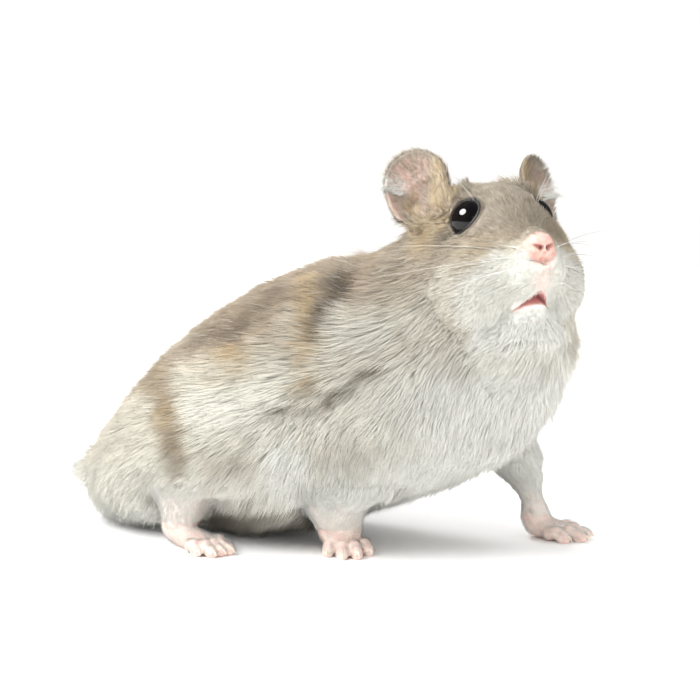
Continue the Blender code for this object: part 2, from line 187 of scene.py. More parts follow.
def in_head(points):
    """Frame points in millimetres, as forward, left and up from the nose."""
    return (points - np.array(NOSE_TIP)) @ HEAD_TURN


# %% Small tools for masks
def ramp(low, high, value):
    """Zero at low, one at high, smooth between; low may be the greater."""
    t = np.clip((np.asarray(value, float) - low) / (high - low), 0.0, 1.0)
    return t * t * (3.0 - 2.0 * t)


def most(*values):
    return reduce(np.maximum, values)


def mix(old, new, share):
    """Goes from the old numbers or rows towards the new by the share."""
    return old + (new - old) * (share[:, None] if np.ndim(old) == 2 else share)


def span(rows):
    return np.linalg.norm(rows, axis=1)


def unit(vectors):
    return vectors / most(np.linalg.norm(vectors, axis=-1, keepdims=True), 1e-9)


def hump(value, centre, half):
    """One at the centre, falling smoothly to a half at the half width."""
    return np.exp(-np.log(2.0) * ((value - centre) / half) ** 2)


def path_distance(points, path):
    """Distance to a line of stations, and how far along it the nearest spot lies."""
    path = np.asarray(path, float)
    best = np.full(len(points), 1e9)
    share = np.zeros(len(points))
    for index, (start, end) in enumerate(zip(path[:-1, :3], path[1:, :3])):
        along = end - start
        t = np.clip((points - start) @ along / (along @ along), 0.0, 1.0)
        away = span(points - start - t[:, None] * along)
        closer = away < best
        best[closer] = away[closer]
        share[closer] = (index + t[closer]) / (len(path) - 1)
    return best, share


def line_and_size(points, path):
    """Distance to a line of stations, and their fourth number at the nearest spot."""
    away, along = path_distance(points, path)
    return away, np.interp(along, np.linspace(0, 1, len(path)), np.array(path)[:, 3])


# %% [markdown]
# ## Round masses and swept limbs
# Two makers shape everything that isn't taken from the solids: an egg, and a sweep of
# ellipses along a smooth line. Both only add closed shells to a bmesh. A voxel remesh
# melts the shells into one skin later, so they may overlap freely.

# %% Makers
def egg(shape, centre, sizes, axes=HEAD, segments=32):
    matrix = Matrix.Scale(MM, 4) @ axes @ Matrix.Translation(centre) @ Matrix.Diagonal((*sizes, 1.0))
    bmesh.ops.create_uvsphere(shape, u_segments=segments, v_segments=segments // 2, radius=1.0,
                              matrix=matrix)


def smooth_rows(stations, steps):
    """Rows between neighbouring stations, along a Catmull-Rom curve."""
    knots = np.array([stations[0], *stations, stations[-1]], dtype=float)
    rows = []
    for before, start, end, after in zip(knots, knots[1:], knots[2:], knots[3:]):
        for step in range(steps):
            t = step / steps
            rows.append(0.5 * (2 * start + (end - before) * t
                               + (2 * before - 5 * start + 4 * end - after) * t ** 2
                               + (3 * start - before - 3 * end + after) * t ** 3))
    rows.append(knots[-1])
    return np.array(rows)


def sweep(shape, stations, axes, steps=5, sides=24, rounds=5):
    """A round-ended loft; a station is x, y, z, half width and half height."""
    rows = smooth_rows(stations, steps)
    centres, sizes = rows[:, :3], rows[:, 3:]
    along = unit(np.gradient(centres, axis=0))
    cap = np.linspace(0.1, 1.0, rounds + 1)[:-1] * math.pi / 2

    def round_end(end, sign, turns):
        return [(centres[end] + sign * along[end] * sizes[end].min() * math.cos(a), along[end],
                 sizes[end] * math.sin(a)) for a in turns]

    hoops = []
    for centre, ahead, (half_width, half_height) in (
            round_end(0, -1.0, cap) + list(zip(centres, along, sizes)) + round_end(-1, 1.0, cap[::-1])):
        side = unit(np.cross((0.0, 0.0, 1.0), ahead))
        above = np.cross(ahead, side)
        hoop = []
        for step in range(sides):
            turn = 2 * math.pi * step / sides
            point = centre + side * half_width * math.cos(turn) + above * half_height * math.sin(turn)
            hoop.append(shape.verts.new((axes @ Vector(point)) * MM))
        hoops.append(hoop)
    for hoop, beyond in zip(hoops, hoops[1:]):
        for a in range(sides):
            b = (a + 1) % sides
            shape.faces.new((hoop[a], hoop[b], beyond[b], beyond[a]))
    shape.faces.new(hoops[0])
    shape.faces.new(hoops[-1])


def object_from(shape, name):
    bmesh.ops.recalc_face_normals(shape, faces=shape.faces[:])
    mesh = bpy.data.meshes.new(name)
    shape.to_mesh(mesh)
    shape.free()
    return put_in_scene(name, mesh)


def settled(made):
    """Turns an object's modifiers into plain mesh and takes them off."""
    graph = bpy.context.evaluated_depsgraph_get()
    mesh = bpy.data.meshes.new_from_object(made.evaluated_get(graph))
    made.modifiers.clear()
    made.data = mesh
    return made


def melted(made, voxel, smoothing):
    remesh = made.modifiers.new("melt", "REMESH")
    remesh.mode = "VOXEL"
    remesh.voxel_size = voxel * MM
    smooth = made.modifiers.new("smooth", "SMOOTH")
    smooth.factor = 0.5
    smooth.iterations = smoothing
    return settled(made)


def points_of(mesh):
    """The vertices' places and normals, in millimetres."""
    places = np.empty(len(mesh.vertices) * 3, np.float32)
    mesh.vertices.foreach_get("co", places)
    normals = np.empty(len(mesh.vertices) * 3, np.float32)
    mesh.vertex_normals.foreach_get("vector", normals)
    return places.reshape(-1, 3).astype(float) / MM, normals.reshape(-1, 3).astype(float)


def put_points(mesh, places):
    mesh.vertices.foreach_set("co", (places * MM).astype(np.float32).ravel())
    mesh.update()


# %% [markdown]
# ## The flesh under the coat
# The solids reach to the tips of the fur. The skin has to lie deeper: nearly three
# millimetres on the back, one on the cheeks, and nothing on nose and feet. Copies of the
# solids are grown a little to close the cuts between them, melted together, and then
# every point is sunk along its normal by the depth of the coat at that place.

# %% Where the legs are
LEGS = {
    "foreleg_right": [(13.0, -12.5, 24.0, 9.2), (6.0, -13.0, 13.5, 6.2), (3.2, -12.2, 8.5, 4.5),
                      (2.7, -9.9, 4.6, 3.7)],
    "foreleg_left": [(18.0, 11.5, 25.0, 8.8), (25.0, 13.5, 15.0, 5.4), (27.6, 14.6, 9.0, 3.0),
                     (28.8, 14.8, 4.4, 2.3)],
    "hindleg_right": [(-24.0, -14.4, 18.0, 8.8), (-22.4, -15.4, 13.6, 7.0), (-24.2, -16.8, 8.0, 4.0),
                      (-24.2, -16.8, 4.9, 2.9)],
    "hindleg_left": [(-24.0, 12.4, 18.0, 8.8), (-22.5, 13.0, 12.5, 7.4), (-26.0, 13.8, 7.5, 3.5),
                     (-26.2, 14.2, 4.9, 2.8)],
}
LEG_PATHS = {name: np.array([(x + TO_FRAME.x, y + TO_FRAME.y, z, size) for x, y, z, size in path])
             for name, path in LEGS.items()}


def limb_share(points):
    """How much a point belongs to the slim lower part of a leg, and the way down it."""
    share = np.zeros(len(points))
    downward = np.tile((0.0, 0.0, -1.0), (len(points), 1))
    for name, path in LEG_PATHS.items():
        lower = path if name == "foreleg_left" else path[1:]
        away, size = line_and_size(points, lower)
        near = 1.0 - ramp(size * 1.02 + 0.5, size * 1.25 + 1.6, away)
        here = near * ramp(lower[0, 2] - 1.0, lower[0, 2] - 4.5, points[:, 2])
        downward[here > share] = unit(lower[-1, :3] - lower[0, :3])
        share = most(share, here)
    return share, downward


def coat_depth(points):
    """How far the skin lies under the tips of the fur, in millimetres."""
    q = in_head(points)
    head = ramp(-34.0, -22.0, q[:, 0]) * ramp(-23.0, -15.0, q[:, 2])
    face = np.interp(q[:, 0], [-28.0, -16.0, -9.0, -3.0, 0.0], [2.0, 1.25, 0.85, 0.5, 0.3])
    depth = 2.7 * (1.0 - head) + face * head
    tail = ramp(-41.0, -43.5, points[:, 0]) * ramp(
        5.5, 3.5, np.hypot(points[:, 1] - 0.5, points[:, 2] - 7.8))
    depth = depth * (1.0 - tail) + 0.35 * tail
    limb, _ = limb_share(points)
    leg_depth = np.interp(points[:, 2], [4.5, 8.0, 14.0, 20.0], [0.15, 0.5, 1.3, 2.2])
    return depth * (1.0 - limb) + leg_depth * limb


# %% Melt and sink
GROW = 0.26
CLAY_VOXEL = 0.5
CLAY_SMOOTHING = 22
FLESH = ["trunk", "neck", "head", "foreleg_left", "foreleg_right", "hindleg_left", "hindleg_right",
         "tail"]
EYE_SPOT = {"left": np.array((-12.8, 5.3, 5.4)), "right": np.array((-12.7, -6.3, 5.8))}
EYE_RADIUS = 3.2
SIDES = {"left": 1.0, "right": -1.0}


def flesh_clay():
    shape = bmesh.new()
    for name in FLESH:
        shape.from_mesh(frame["nodes"][name].data)
    bmesh.ops.remove_doubles(shape, verts=shape.verts[:], dist=1e-6)
    bmesh.ops.recalc_face_normals(shape, faces=shape.faces[:])
    shape.normal_update()
    for vert in shape.verts:
        vert.co += vert.normal * GROW * MM
    for side, sign in SIDES.items():
        egg(shape, EYE_SPOT[side] - (0.4, 0.5 * sign, 0.5), [EYE_RADIUS] * 3)
        egg(shape, (-21.5, 8.2 * sign, 6.6), (3.6, 3.2, 4.8))
        egg(shape, (-20.5, 6.2 * sign, 4.6), (4.6, 4.6, 4.6))
    egg(shape, (-7.0, 0.0, -7.9), (4.6, 3.6, 2.6))
    clay = melted(object_from(shape, "clay"), CLAY_VOXEL, CLAY_SMOOTHING)
    places, normals = points_of(clay.data)
    put_points(clay.data, places - normals * (coat_depth(places) + GROW * 0.6)[:, None])
    return clay


clay = flesh_clay()
print("flesh clay:", len(clay.data.vertices), "points")

# %% [markdown]
# ## Ears, feet, nose and lips
# These are bare or nearly bare, so their own shape shows and they aren't sunk. The ear
# is a dished disc with a rolled rim and a hollow where the canal begins. A foot is a
# sole with toes, each with its knuckle and soft tip, and pads below.

# %% Ears
EAR_CENTRES = {"right": (-21.5, -10.8, 11.9), "left": (-21.5, 9.9, 9.9)}
EAR_HALF_WIDTH, EAR_HALF_HEIGHT = 5.85, 6.7
EAR_NARROWING = 0.25
EAR_THICKNESS = 0.62
EAR_TURN = {"right": 27.0, "left": 33.0}
EAR_LEAN = {"right": (0.02, 0.06, 1.0), "left": (0.0, 0.2, 1.0)}


def ear_axes(side):
    """The ear's centre, and its ways outward, to the tip and out of the cup."""
    sign = SIDES[side]
    lean = EAR_LEAN[side]
    tip = Vector((lean[0], lean[1] * sign, lean[2])).normalized()
    turn = math.radians(EAR_TURN[side])
    facing = Vector((math.cos(turn), math.sin(turn) * sign, 0.0))
    facing = (facing - tip * facing.dot(tip)).normalized()
    outward = facing.cross(tip) * -sign
    return Vector(EAR_CENTRES[side]), outward, tip, facing


def ear_shell(side):
    centre, outward, tip, facing = ear_axes(side)
    rings, spokes = 16, 72
    shape = bmesh.new()

    def point(reach, angle):
        low = (1.0 - math.sin(angle)) / 2
        across = math.cos(angle) * EAR_HALF_WIDTH * (1.0 - EAR_NARROWING * low) * reach
        along = math.sin(angle) * EAR_HALF_HEIGHT * reach
        front = max(0.0, -math.cos(angle))
        lift = (1.1 + 3.6 * low ** 1.5 + 1.0 * front) * reach ** 2
        lift += 0.10 * max(0.0, reach - 0.86) / 0.14
        lift -= 0.5 * float(hump(math.hypot(across - 0.2, along + 1.8), 0.0, 1.5))
        lift += 0.35 * float(hump(along + 0.3 * across, 1.5, 0.55)) * (1.0 - reach ** 4)
        place = centre + outward * across + tip * along + facing * (lift - 1.4)
        return shape.verts.new((HEAD @ place) * MM)

    middle = point(0.0, 0.0)
    hoops = [[point(ring / rings, 2 * math.pi * spoke / spokes) for spoke in range(spokes)]
             for ring in range(1, rings + 1)]
    for a in range(spokes):
        b = (a + 1) % spokes
        shape.faces.new((middle, hoops[0][a], hoops[0][b]))
        for hoop, beyond in zip(hoops, hoops[1:]):
            shape.faces.new((hoop[a], beyond[a], beyond[b], hoop[b]))
    ear = object_from(shape, "ear shell " + side)
    shell = ear.modifiers.new("thickness", "SOLIDIFY")
    shell.thickness = EAR_THICKNESS * MM
    shell.offset = 0.0
    return settled(ear)


# %% Feet
FOREFOOT = dict(length=9.6, width=6.4, heel=2.2, toes=4, spread=17.0, toe_length=4.3, toe_radius=1.22)
HINDFOOT = dict(length=14.2, width=6.0, heel=2.6, toes=5, spread=15.0, toe_length=4.6, toe_radius=1.10)
FEET = {
    "forefoot_right": (FOREFOOT, (2.5, -7.9), -58.0),
    "forefoot_left": (FOREFOOT, (29.0, 14.8), 3.0),
    "hindfoot_right": (HINDFOOT, (-25.4, -16.6), -26.0),
    "hindfoot_left": (HINDFOOT, (-27.0, 13.6), 20.0),
}


def foot_axes(heel, heading):
    place = Vector((heel[0], heel[1], 0.0)) + TO_FRAME
    return Matrix.Translation(place) @ Matrix.Rotation(math.radians(heading), 4, "Z")


def toe_lines(make):
    """Each toe as root, direction and length, in the foot's own axes."""
    ball = make["length"] - make["toe_length"] - 0.8
    for toe in range(make["toes"]):
        share = 2 * toe / (make["toes"] - 1) - 1
        outer = abs(share) > 0.9
        angle = math.radians(make["spread"]) * share
        ahead = Vector((math.cos(angle), math.sin(angle), 0.0))
        root = Vector((ball - (1.3 if outer else 0.2), share * make["width"] * 0.39, 0.0))
        yield root, ahead, make["toe_length"] * (0.74 if outer else 1.0)


KNUCKLES = [(0.0, 1.30, 0.98), (0.22, 1.45, 0.86), (0.45, 1.52, 1.02), (0.64, 1.15, 0.84),
            (0.82, 0.92, 0.96), (1.0, 0.74, 0.84)]  # share of length, height, thickness


def add_foot(shape, make, heel, heading):
    axes = foot_axes(heel, heading)
    half = make["width"] / 2
    ball = make["length"] - make["toe_length"] - 0.8
    sweep(shape, [(-0.2, 0.0, make["heel"] + 1.6, half * 0.80, half * 0.80),
                  (0.3, 0.0, make["heel"], half * 0.80, 2.1),
                  (ball * 0.5, 0.0, 1.65, half * 0.86, 1.85),
                  (ball, 0.0, 1.15, half * 1.02, 1.40)], axes, steps=5)
    for root, ahead, reach in toe_lines(make):
        stations = []
        for part, height, size in KNUCKLES:
            spot = root + ahead * reach * part
            stations.append((spot.x, spot.y, height, make["toe_radius"] * size,
                             make["toe_radius"] * size))
        sweep(shape, stations, axes, steps=3, sides=16)
        pad = root + ahead * reach * 0.92
        egg(shape, (pad.x, pad.y, 0.55), (0.85, 0.75, 0.55), axes, 12)
        egg(shape, (root.x, root.y * 1.05, 0.5), (0.9, 0.8, 0.55), axes, 12)


# %% Nose, lips and chin
def add_face(shape):
    """Soft masses of the muzzle: pad, wings of the nose, split upper lip, chin."""
    egg(shape, (-0.9, 0.0, -0.2), (1.7, 2.3, 2.3))
    egg(shape, (-2.8, 0.0, 0.2), (2.6, 2.5, 2.6))
    for sign in SIDES.values():
        egg(shape, (-0.95, 1.15 * sign, -0.7), (1.35, 1.25, 1.45))
        egg(shape, (-4.3, 2.1 * sign, -3.8), (3.4, 2.7, 3.3))
        egg(shape, (-4.2, 1.25 * sign, -5.6), (2.4, 1.7, 2.3))
    egg(shape, (-9.8, 0.0, -10.6), (4.6, 4.4, 2.6))
    egg(shape, (-7.6, 0.0, -9.9), (2.6, 2.9, 1.3))
    egg(shape, (-10.6, 0.0, -13.8), (4.4, 6.0, 3.8))
    egg(shape, (-13.5, 0.0, -14.8), (5.8, 7.4, 5.2))


# %% One skin
SKIN_VOXEL = 0.26
SKIN_SMOOTHING = 3


def make_skin():
    shape = bmesh.new()
    for make, heel, heading in FEET.values():
        add_foot(shape, make, heel, heading)
    add_face(shape)
    for path in LEGS.values():
        x, y, z, size = path[-1]
        egg(shape, (x, y, z - 0.4), [size + 0.2] * 3, BODY)
    for side in SIDES:
        centre, outward, tip, facing = ear_axes(side)
        egg(shape, centre - tip * 5.0 - facing * 1.2 - outward * 0.6, (2.9, 2.6, 3.4), segments=20)
        egg(shape, centre - outward * 4.8 - tip * 3.2 + facing * 1.0, (2.3, 2.2, 2.8), segments=20)
        shape.from_mesh(ear_shell(side).data)
    shape.from_mesh(clay.data)
    skin = melted(object_from(shape, "skin"), SKIN_VOXEL, SKIN_SMOOTHING)
    places, _ = points_of(skin.data)
    places[:, 2] = most(places[:, 2], 0.0)
    put_points(skin.data, places)
    return skin


skin = make_skin()
print("skin:", len(skin.data.polygons), "faces before thinning")

# %% [markdown]
# ## The skin's finer forms
# Melting leaves every joint between two masses a little hard. On the muzzle and at the
# roots of the ears a few rounds of averaging with the neighbours melt it away. The
# faces are then thinned where fur hides them, and doubled on nose, lips and lids, where
# lines as fine as a third of a millimetre have to show.

# %% Averaging
def averaged(mesh, share, rounds):
    """Moves each point towards its neighbours' mean, by its share."""
    places, _ = points_of(mesh)
    edges = np.empty(len(mesh.edges) * 2, np.int32)
    mesh.edges.foreach_get("vertices", edges)
    a, b = edges.reshape(-1, 2).T
    count = np.bincount(a, minlength=len(places)) + np.bincount(b, minlength=len(places))
    for _ in range(rounds):
        total = np.empty_like(places)
        for axis in range(3):
            total[:, axis] = (np.bincount(a, places[b, axis], len(places))
                              + np.bincount(b, places[a, axis], len(places)))
        mean = total / most(count, 1)[:, None]
        places += (mean - places) * share[:, None]
    put_points(mesh, places)


def foot_place(points, heel, heading):
    """A point in a foot's own axes: forward, left and up."""
    local = np.linalg.inv(np.array(foot_axes(heel, heading)))
    return points @ local[:3, :3].T + local[:3, 3]


def bare_toes(points):
    """One on the toes, where averaging would melt them together."""
    near = 0.0
    for make, heel, heading in FEET.values():
        ahead, aside, up = foot_place(points, heel, heading).T
        near = most(near, ramp(make["length"] * 0.45, make["length"] * 0.6, ahead) * ramp(5.0, 3.5, up)
                    * (np.abs(aside) < 6.0) * (ahead < make["length"] + 3.0))
    return near


def ear_place(points, side):
    """A point in the ear's own axes: outward, to the tip, out of the cup."""
    centre, *ways = ear_axes(side)
    return (in_head(points) - np.array(centre)) @ np.array(ways).T


def on_ear(points):
    """One on the free cup of either ear."""
    share = 0.0
    for side in SIDES:
        out, high, ahead = ear_place(points, side).T
        inside = np.hypot(out / (EAR_HALF_WIDTH + 0.8), (high - 0.2) / (EAR_HALF_HEIGHT + 0.8))
        share = most(share, ramp(1.12, 0.98, inside) * ramp(-5.6, -3.6, high) * (np.abs(ahead) < 5.5))
    return share


places, _ = points_of(skin.data)
q = in_head(places)
muzzle = ramp(-13.0, -8.0, q[:, 0]) * ramp(-18.0, -13.0, q[:, 2])
firm = most(on_ear(places), bare_toes(places))
averaged(skin.data, 0.5 * (1.0 - 0.93 * firm) * (0.35 + 0.65 * muzzle), rounds=14)
places, _ = points_of(skin.data)
wrist = limb_share(places)[0] * ramp(3.4, 4.6, places[:, 2]) * ramp(11.0, 9.0, places[:, 2])
averaged(skin.data, 0.5 * wrist * (1.0 - bare_toes(places)), rounds=60)
print("muzzle and joints averaged")

# %% Thinning
SKIN_TRIANGLES = 132000
places, _ = points_of(skin.data)
q = in_head(places)
fine = most(ramp(-17.0, -12.0, q[:, 0]) * ramp(-16.0, -13.0, q[:, 2]), bare_toes(places),
            on_ear(places), ramp(6.5, 4.5, places[:, 2]) * limb_share(places)[0])
group = skin.vertex_groups.new(name="plain")
for weight in range(5):
    members = np.nonzero(np.round(fine * 4) == weight)[0]
    group.add([int(i) for i in members], 1.0 - weight / 4, "REPLACE")
thin = skin.modifiers.new("thin", "DECIMATE")
thin.ratio = SKIN_TRIANGLES / (2 * len(skin.data.polygons))
thin.use_collapse_triangulate = True
thin.vertex_group = "plain"
thin.vertex_group_factor = 6.0
settled(skin)
skin.vertex_groups.clear()
print("skin:", len(skin.data.polygons), "triangles")


# %% Doubling
EYE_FACING = {side: np.array((0.35, 0.80 * sign, 0.45)) / 0.982 for side, sign in SIDES.items()}


def face_detail(q):
    """One where the face's lines are finest: nose, lips and lids."""
    nose = span((q - (-0.6, 0.0, -0.4)) / (2.6, 3.2, 3.2)) < 1.0
    lips = span((q - (-4.8, 0.0, -7.6)) / (3.6, 4.8, 4.6)) < 1.0
    lids = [span(q - EYE_SPOT[side]) < EYE_RADIUS + 1.5 for side in SIDES]
    return nose | lips | lids[0] | lids[1]


q = in_head(points_of(skin.data)[0])
throat, _ = path_distance(q, [(-9.5, 0.0, -15.0), (-18.0, 0.0, -20.0)])
chin_top = np.interp(np.abs(q[:, 1]), [3.0, 5.0], [-10.8, -8.4])
throat = ramp(15.0, 9.0, throat) * ramp(chin_top, chin_top - 1.4, q[:, 2])
jowl, _ = path_distance(np.stack([q[:, 0], np.abs(q[:, 1]), q[:, 2]], 1),
                        [(-18.0, 12.0, -3.0), (-18.5, 11.5, -9.0), (-17.0, 9.0, -14.0)])
averaged(skin.data, 0.5 * most(throat, ramp(7.5, 4.0, jowl)), rounds=100)
# Behind and below its cup an ear's root runs smoothly into the head.
ear_root = 0.0
for side in SIDES:
    w = ear_place(points_of(skin.data)[0], side)
    near = ramp(7.0, 5.0, span(w - (-0.6, -5.0, -0.8)))
    ear_root = most(ear_root, near * most(ramp(-0.6, -2.0, w[:, 2]), ramp(-3.8, -5.4, w[:, 1])))
averaged(skin.data, 0.5 * ear_root, rounds=90)
shape = bmesh.new()
shape.from_mesh(skin.data)
shape.verts.ensure_lookup_table()
flags = face_detail(in_head(points_of(skin.data)[0]))
chosen = [edge for edge in shape.edges if flags[edge.verts[0].index] and flags[edge.verts[1].index]]
bmesh.ops.subdivide_edges(shape, edges=chosen, cuts=1)
bmesh.ops.triangulate(shape, faces=[face for face in shape.faces if len(face.verts) > 3])
shape.to_mesh(skin.data)
shape.free()
print("skin:", len(skin.data.polygons), "triangles with the face doubled")

# %% [markdown]
# ## Sockets, nostrils and mouth
# Each is made by moving the points of the skin, so that the surface stays whole. Round
# the eye the skin is laid over the ball as a lid and tucked in behind it. A nostril is a
# comma pressed into the pad. The mouth is a soft slit pressed in under the split lip.

# %% Lids
LID_THICKNESS = 0.30
LID_ANGLE = {"right": 59.0, "left": 47.0}  # from the middle of the eye to the edge of the lids
CORNER = {side: np.array((-0.62, 0.30 * sign, -0.72)) for side, sign in SIDES.items()}


def lay_lids(q, firm):
    """Moves head points over or behind the eyeballs; returns them, the rim and its surroundings."""
    rim = around = 0.0
    for side in SIDES:
        centre, facing = EYE_SPOT[side], EYE_FACING[side]
        away = q - centre
        reach = span(away)
        way = away / reach[:, None]
        tilt = np.degrees(np.arccos(np.clip(way @ facing, -1.0, 1.0)))
        corner = unit(CORNER[side] - facing * (CORNER[side] @ facing))
        pull = unit(way - facing * (way @ facing)[:, None]) @ corner
        edge = LID_ANGLE[side] + 9.0 * pull ** 2 + 8.0 * most(pull, 0.0) ** 5
        past = tilt - edge
        lid = EYE_RADIUS + LID_THICKNESS
        settle = ramp(1.5, 24.0, past)
        laid = lid * (1.0 - settle) + most(reach, lid - 0.1) * settle
        tucked = EYE_RADIUS - 0.55
        target = np.where(past < -3.0, tucked, np.where(
            past < 0.5, tucked + (lid - tucked) * ramp(-3.0, 0.5, past), laid))
        near = ramp(EYE_RADIUS + 2.6, EYE_RADIUS + 1.4, reach) * ramp(125.0, 100.0, tilt)
        near = near * (1.0 - firm)
        q = mix(q, centre + way * target[:, None], near)
        rim = most(rim, near * ramp(-4.0, -1.0, past) * ramp(9.0, 3.0, past))
        around = most(around, ramp(6.0, 14.0, past) * (1.0 - firm)
                      * ramp(EYE_RADIUS + 4.5, EYE_RADIUS + 2.5, reach))
    return q, rim, around


# %% Nostrils, cleft and mouth
NOSTRIL = [(0.70, 0.72, -0.85), (0.55, 1.0, -0.62), (0.15, 1.5, -0.3), (-0.4, 1.9, -0.15)]
CLEFT = [(0.6, 0.0, -1.75), (0.2, 0.0, -2.4), (-0.8, 0.0, -3.6), (-2.0, 0.0, -5.2), (-3.4, 0.0, -7.2)]
LIP_SIDE = [0.0, 0.6, 1.8, 2.7, 3.5]  # sideways from the middle of the mouth
UPPER_LIP = [-7.2, -7.45, -8.5, -9.4, -10.1]  # height of its edge there
LOWER_LIP = [-9.4, -9.4, -9.6, -9.85, -10.2]
MOUTH_DEPTH = 3.2
MOUTH_WAY = np.array((-0.93, 0.0, 0.36))


def press_face(q, normals):
    """Presses nostrils, cleft and mouth into the skin; returns points and masks."""
    nostril = 0.0
    for sign in SIDES.values():
        away, along = path_distance(q, [(x, y * sign, z) for x, y, z in NOSTRIL])
        half = np.interp(along, [0.0, 0.3, 1.0], [0.46, 0.34, 0.12])
        strength = np.interp(along, [0.0, 0.4, 1.0], [1.0, 0.75, 0.3])
        nostril = most(nostril, strength * ramp(half * 1.6, half * 0.5, away))
    away, _ = path_distance(q, CLEFT)
    cleft = ramp(0.5, 0.08, away)
    pressed = q - normals * (0.9 * nostril + 0.45 * cleft)[:, None]
    beside = np.abs(q[:, 1])
    within = np.minimum(np.interp(beside, LIP_SIDE, UPPER_LIP) - q[:, 2],
                        q[:, 2] - np.interp(beside, LIP_SIDE, LOWER_LIP))
    front = ramp(-11.5, -10.5, q[:, 0]) * (beside < 3.5) * ramp(-0.3, 0.0, normals[:, 0])
    mouth = ramp(0.0, 0.22, within) * front
    deep = ramp(-0.05, 0.95, within) * front
    pressed = pressed + MOUTH_WAY * (MOUTH_DEPTH * deep)[:, None]
    lips = ramp(-0.18, 0.04, within) * front
    return pressed, nostril, cleft, mouth, lips


places, normals = points_of(skin.data)
q = in_head(places)
head_normals = normals @ HEAD_TURN
q, lid_rim, lid_around = lay_lids(q, on_ear(places))
q, nostril_mask, cleft_mask, mouth_mask, lip_mask = press_face(q, head_normals)
face_points = ramp(-24.0, -22.0, q[:, 0]) > 0
places = np.where(face_points[:, None], q @ HEAD_TURN.T + np.array(NOSE_TIP), places)
put_points(skin.data, places)
averaged(skin.data, 0.5 * lid_around, rounds=14)
print("lids, nostrils and mouth pressed")

# %% [markdown]
# ## Reading the coat
# Everything that changes over the animal is worked out once, at the points of the skin:
# which way the hair lies, how long and how dense it is, how far it stands up, and how
# the markings run. The skin keeps these as named attributes, and both its own finish
# and every tuft that grows on it read them, so the two always agree.

# %% Where things are
places, normals = points_of(skin.data)
q = in_head(places)
(px, py, pz), (qx, qy, qz) = places.T, q.T
ear_mask = on_ear(places)
for side in SIDES:
    # The head's fur runs over the root of the ear, higher behind it than in front.
    w = ear_place(places, side)
    fade = ramp(-5.2, -3.6, w[:, 1])
    fade = mix(fade, ramp(-4.5, 0.0, w[:, 1]), ramp(0.3, -1.5, w[:, 2]))
    ear_mask = ear_mask * (1.0 - ramp(11.0, 9.0, span(w)) * (1.0 - fade))
limb_mask, limb_down = limb_share(places)
BODY_MIDDLE = 0.96  # where the plane that halves the body lies
side_of_body = np.sign(py - BODY_MIDDLE)
MIDDLE_LINE = np.array([(-43.0, 8.4), (-37.4, 10.8), (-32.3, 13.2), (-24.8, 16.6), (-15.8, 20.4),
                        (-5.8, 23.8), (4.2, 26.2), (13.2, 28.0), (22.2, 29.4), (30.2, 31.0), (41.0, 33.0)])


def round_the_body(x, y, z):
    """Degrees from the top of the back, round the middle line of the body."""
    return np.degrees(np.arctan2(np.abs(y - BODY_MIDDLE), z - np.interp(x, *MIDDLE_LINE.T)))


from_top = round_the_body(px, py, pz)
head_mask = most(ramp(-31.0, -23.0, qx) * ramp(-19.0, -12.5, qz), ear_mask)
chest_mask = ramp(16.0, 30.0, px) * (1.0 - head_mask) * ramp(46.0, 36.0, pz)
tail_mask = ramp(-43.4, -44.6, px) * ramp(5.0, 3.8, np.hypot(py - 0.5, pz - 7.8))
foot_mask = bare_toes(places)
for make, heel, heading in FEET.values():
    ahead, aside, up = foot_place(places, heel, heading).T
    inside = (ramp(-4.6, -3.4, ahead) * ramp(make["length"] + 3.0, make["length"], ahead)
              * ramp(5.6, 4.6, np.abs(aside)))
    foot_mask = most(foot_mask, inside * ramp(5.6, 3.8, up))
print("regions found:", round(float(head_mask.mean()), 2), "of the points on the head")


SINES = 7


def wave(points, scale, seed):
    """A smooth random value for each point, built from a few sine waves."""
    chance = np.random.default_rng(seed)
    total = np.zeros(len(points))
    for _ in range(SINES):
        way = chance.normal(size=3)
        way /= np.linalg.norm(way)
        pace = chance.uniform(0.6, 1.7) / scale * 2.0 * math.pi
        total += np.sin(points @ way * pace + chance.uniform(0.0, 6.3))
    return total / 2.65  # about the root of the number of sines


# %% The lie of the hair
# It runs from the nose back over the head, down the neck and over the shoulders, then
# back and more and more down the flanks, and straight down legs, chest and rump. Where
# the coat parts, in two creases behind the shoulder, it lies along the crease.
SHOULDER_PARTING = [(5.1, 24.3), (7.7, 24.6), (9.6, 25.4), (11.3, 27.0), (13.3, 28.4), (15.3, 30.4),
                    (17.2, 31.7), (19.1, 32.4)]  # forward and up, as seen from the right
FLANK_PARTING = [(0.6, 24.2), (3.3, 25.4), (5.5, 27.0), (6.9, 28.6), (8.9, 29.8), (11.3, 30.9)]


def parting_distance(points, crease):
    """Distance to a crease, which is on the right only, and the way along it."""
    away, along = path_distance(points * (1.0, 0.0, 1.0), [(x, 0.0, z) for x, z in crease])
    return away + 9.0 * (py > -6.0), along


coat_top = places + normals * (0.85 * coat_depth(places))[:, None]
fall = np.interp(from_top, [0, 40, 70, 90, 110, 130, 150, 180], [4, 8, 13, 24, 46, 62, 56, 20])
fall = fall + ramp(-20.0, -40.0, px) * 24.0
under = (py < 0.0) * hump(px, 17.0, 9.0) * ramp(31.0, 24.0, pz)
fall = fall + 24.0 * under + 8.0 * wave(places, 18.0, 3)
parting = 0.0
for crease, strength in ((SHOULDER_PARTING, 1.0), (FLANK_PARTING, 0.75)):
    away, along = parting_distance(coat_top, crease)
    steep = np.where(pz > np.interp(px, *zip(*crease)), 26.0, 58.0)
    fall = mix(fall, steep, strength * ramp(4.5, 0.8, away))
    slim = 0.45 + 0.75 * hump(along, 0.45, 0.28)
    parting = most(parting, strength * ramp(slim * 1.7, slim * 0.5, away))
fall = np.radians(fall)
lie = np.stack([-np.cos(fall), 0.10 * side_of_body * ramp(100, 150, from_top), -np.sin(fall)], 1)
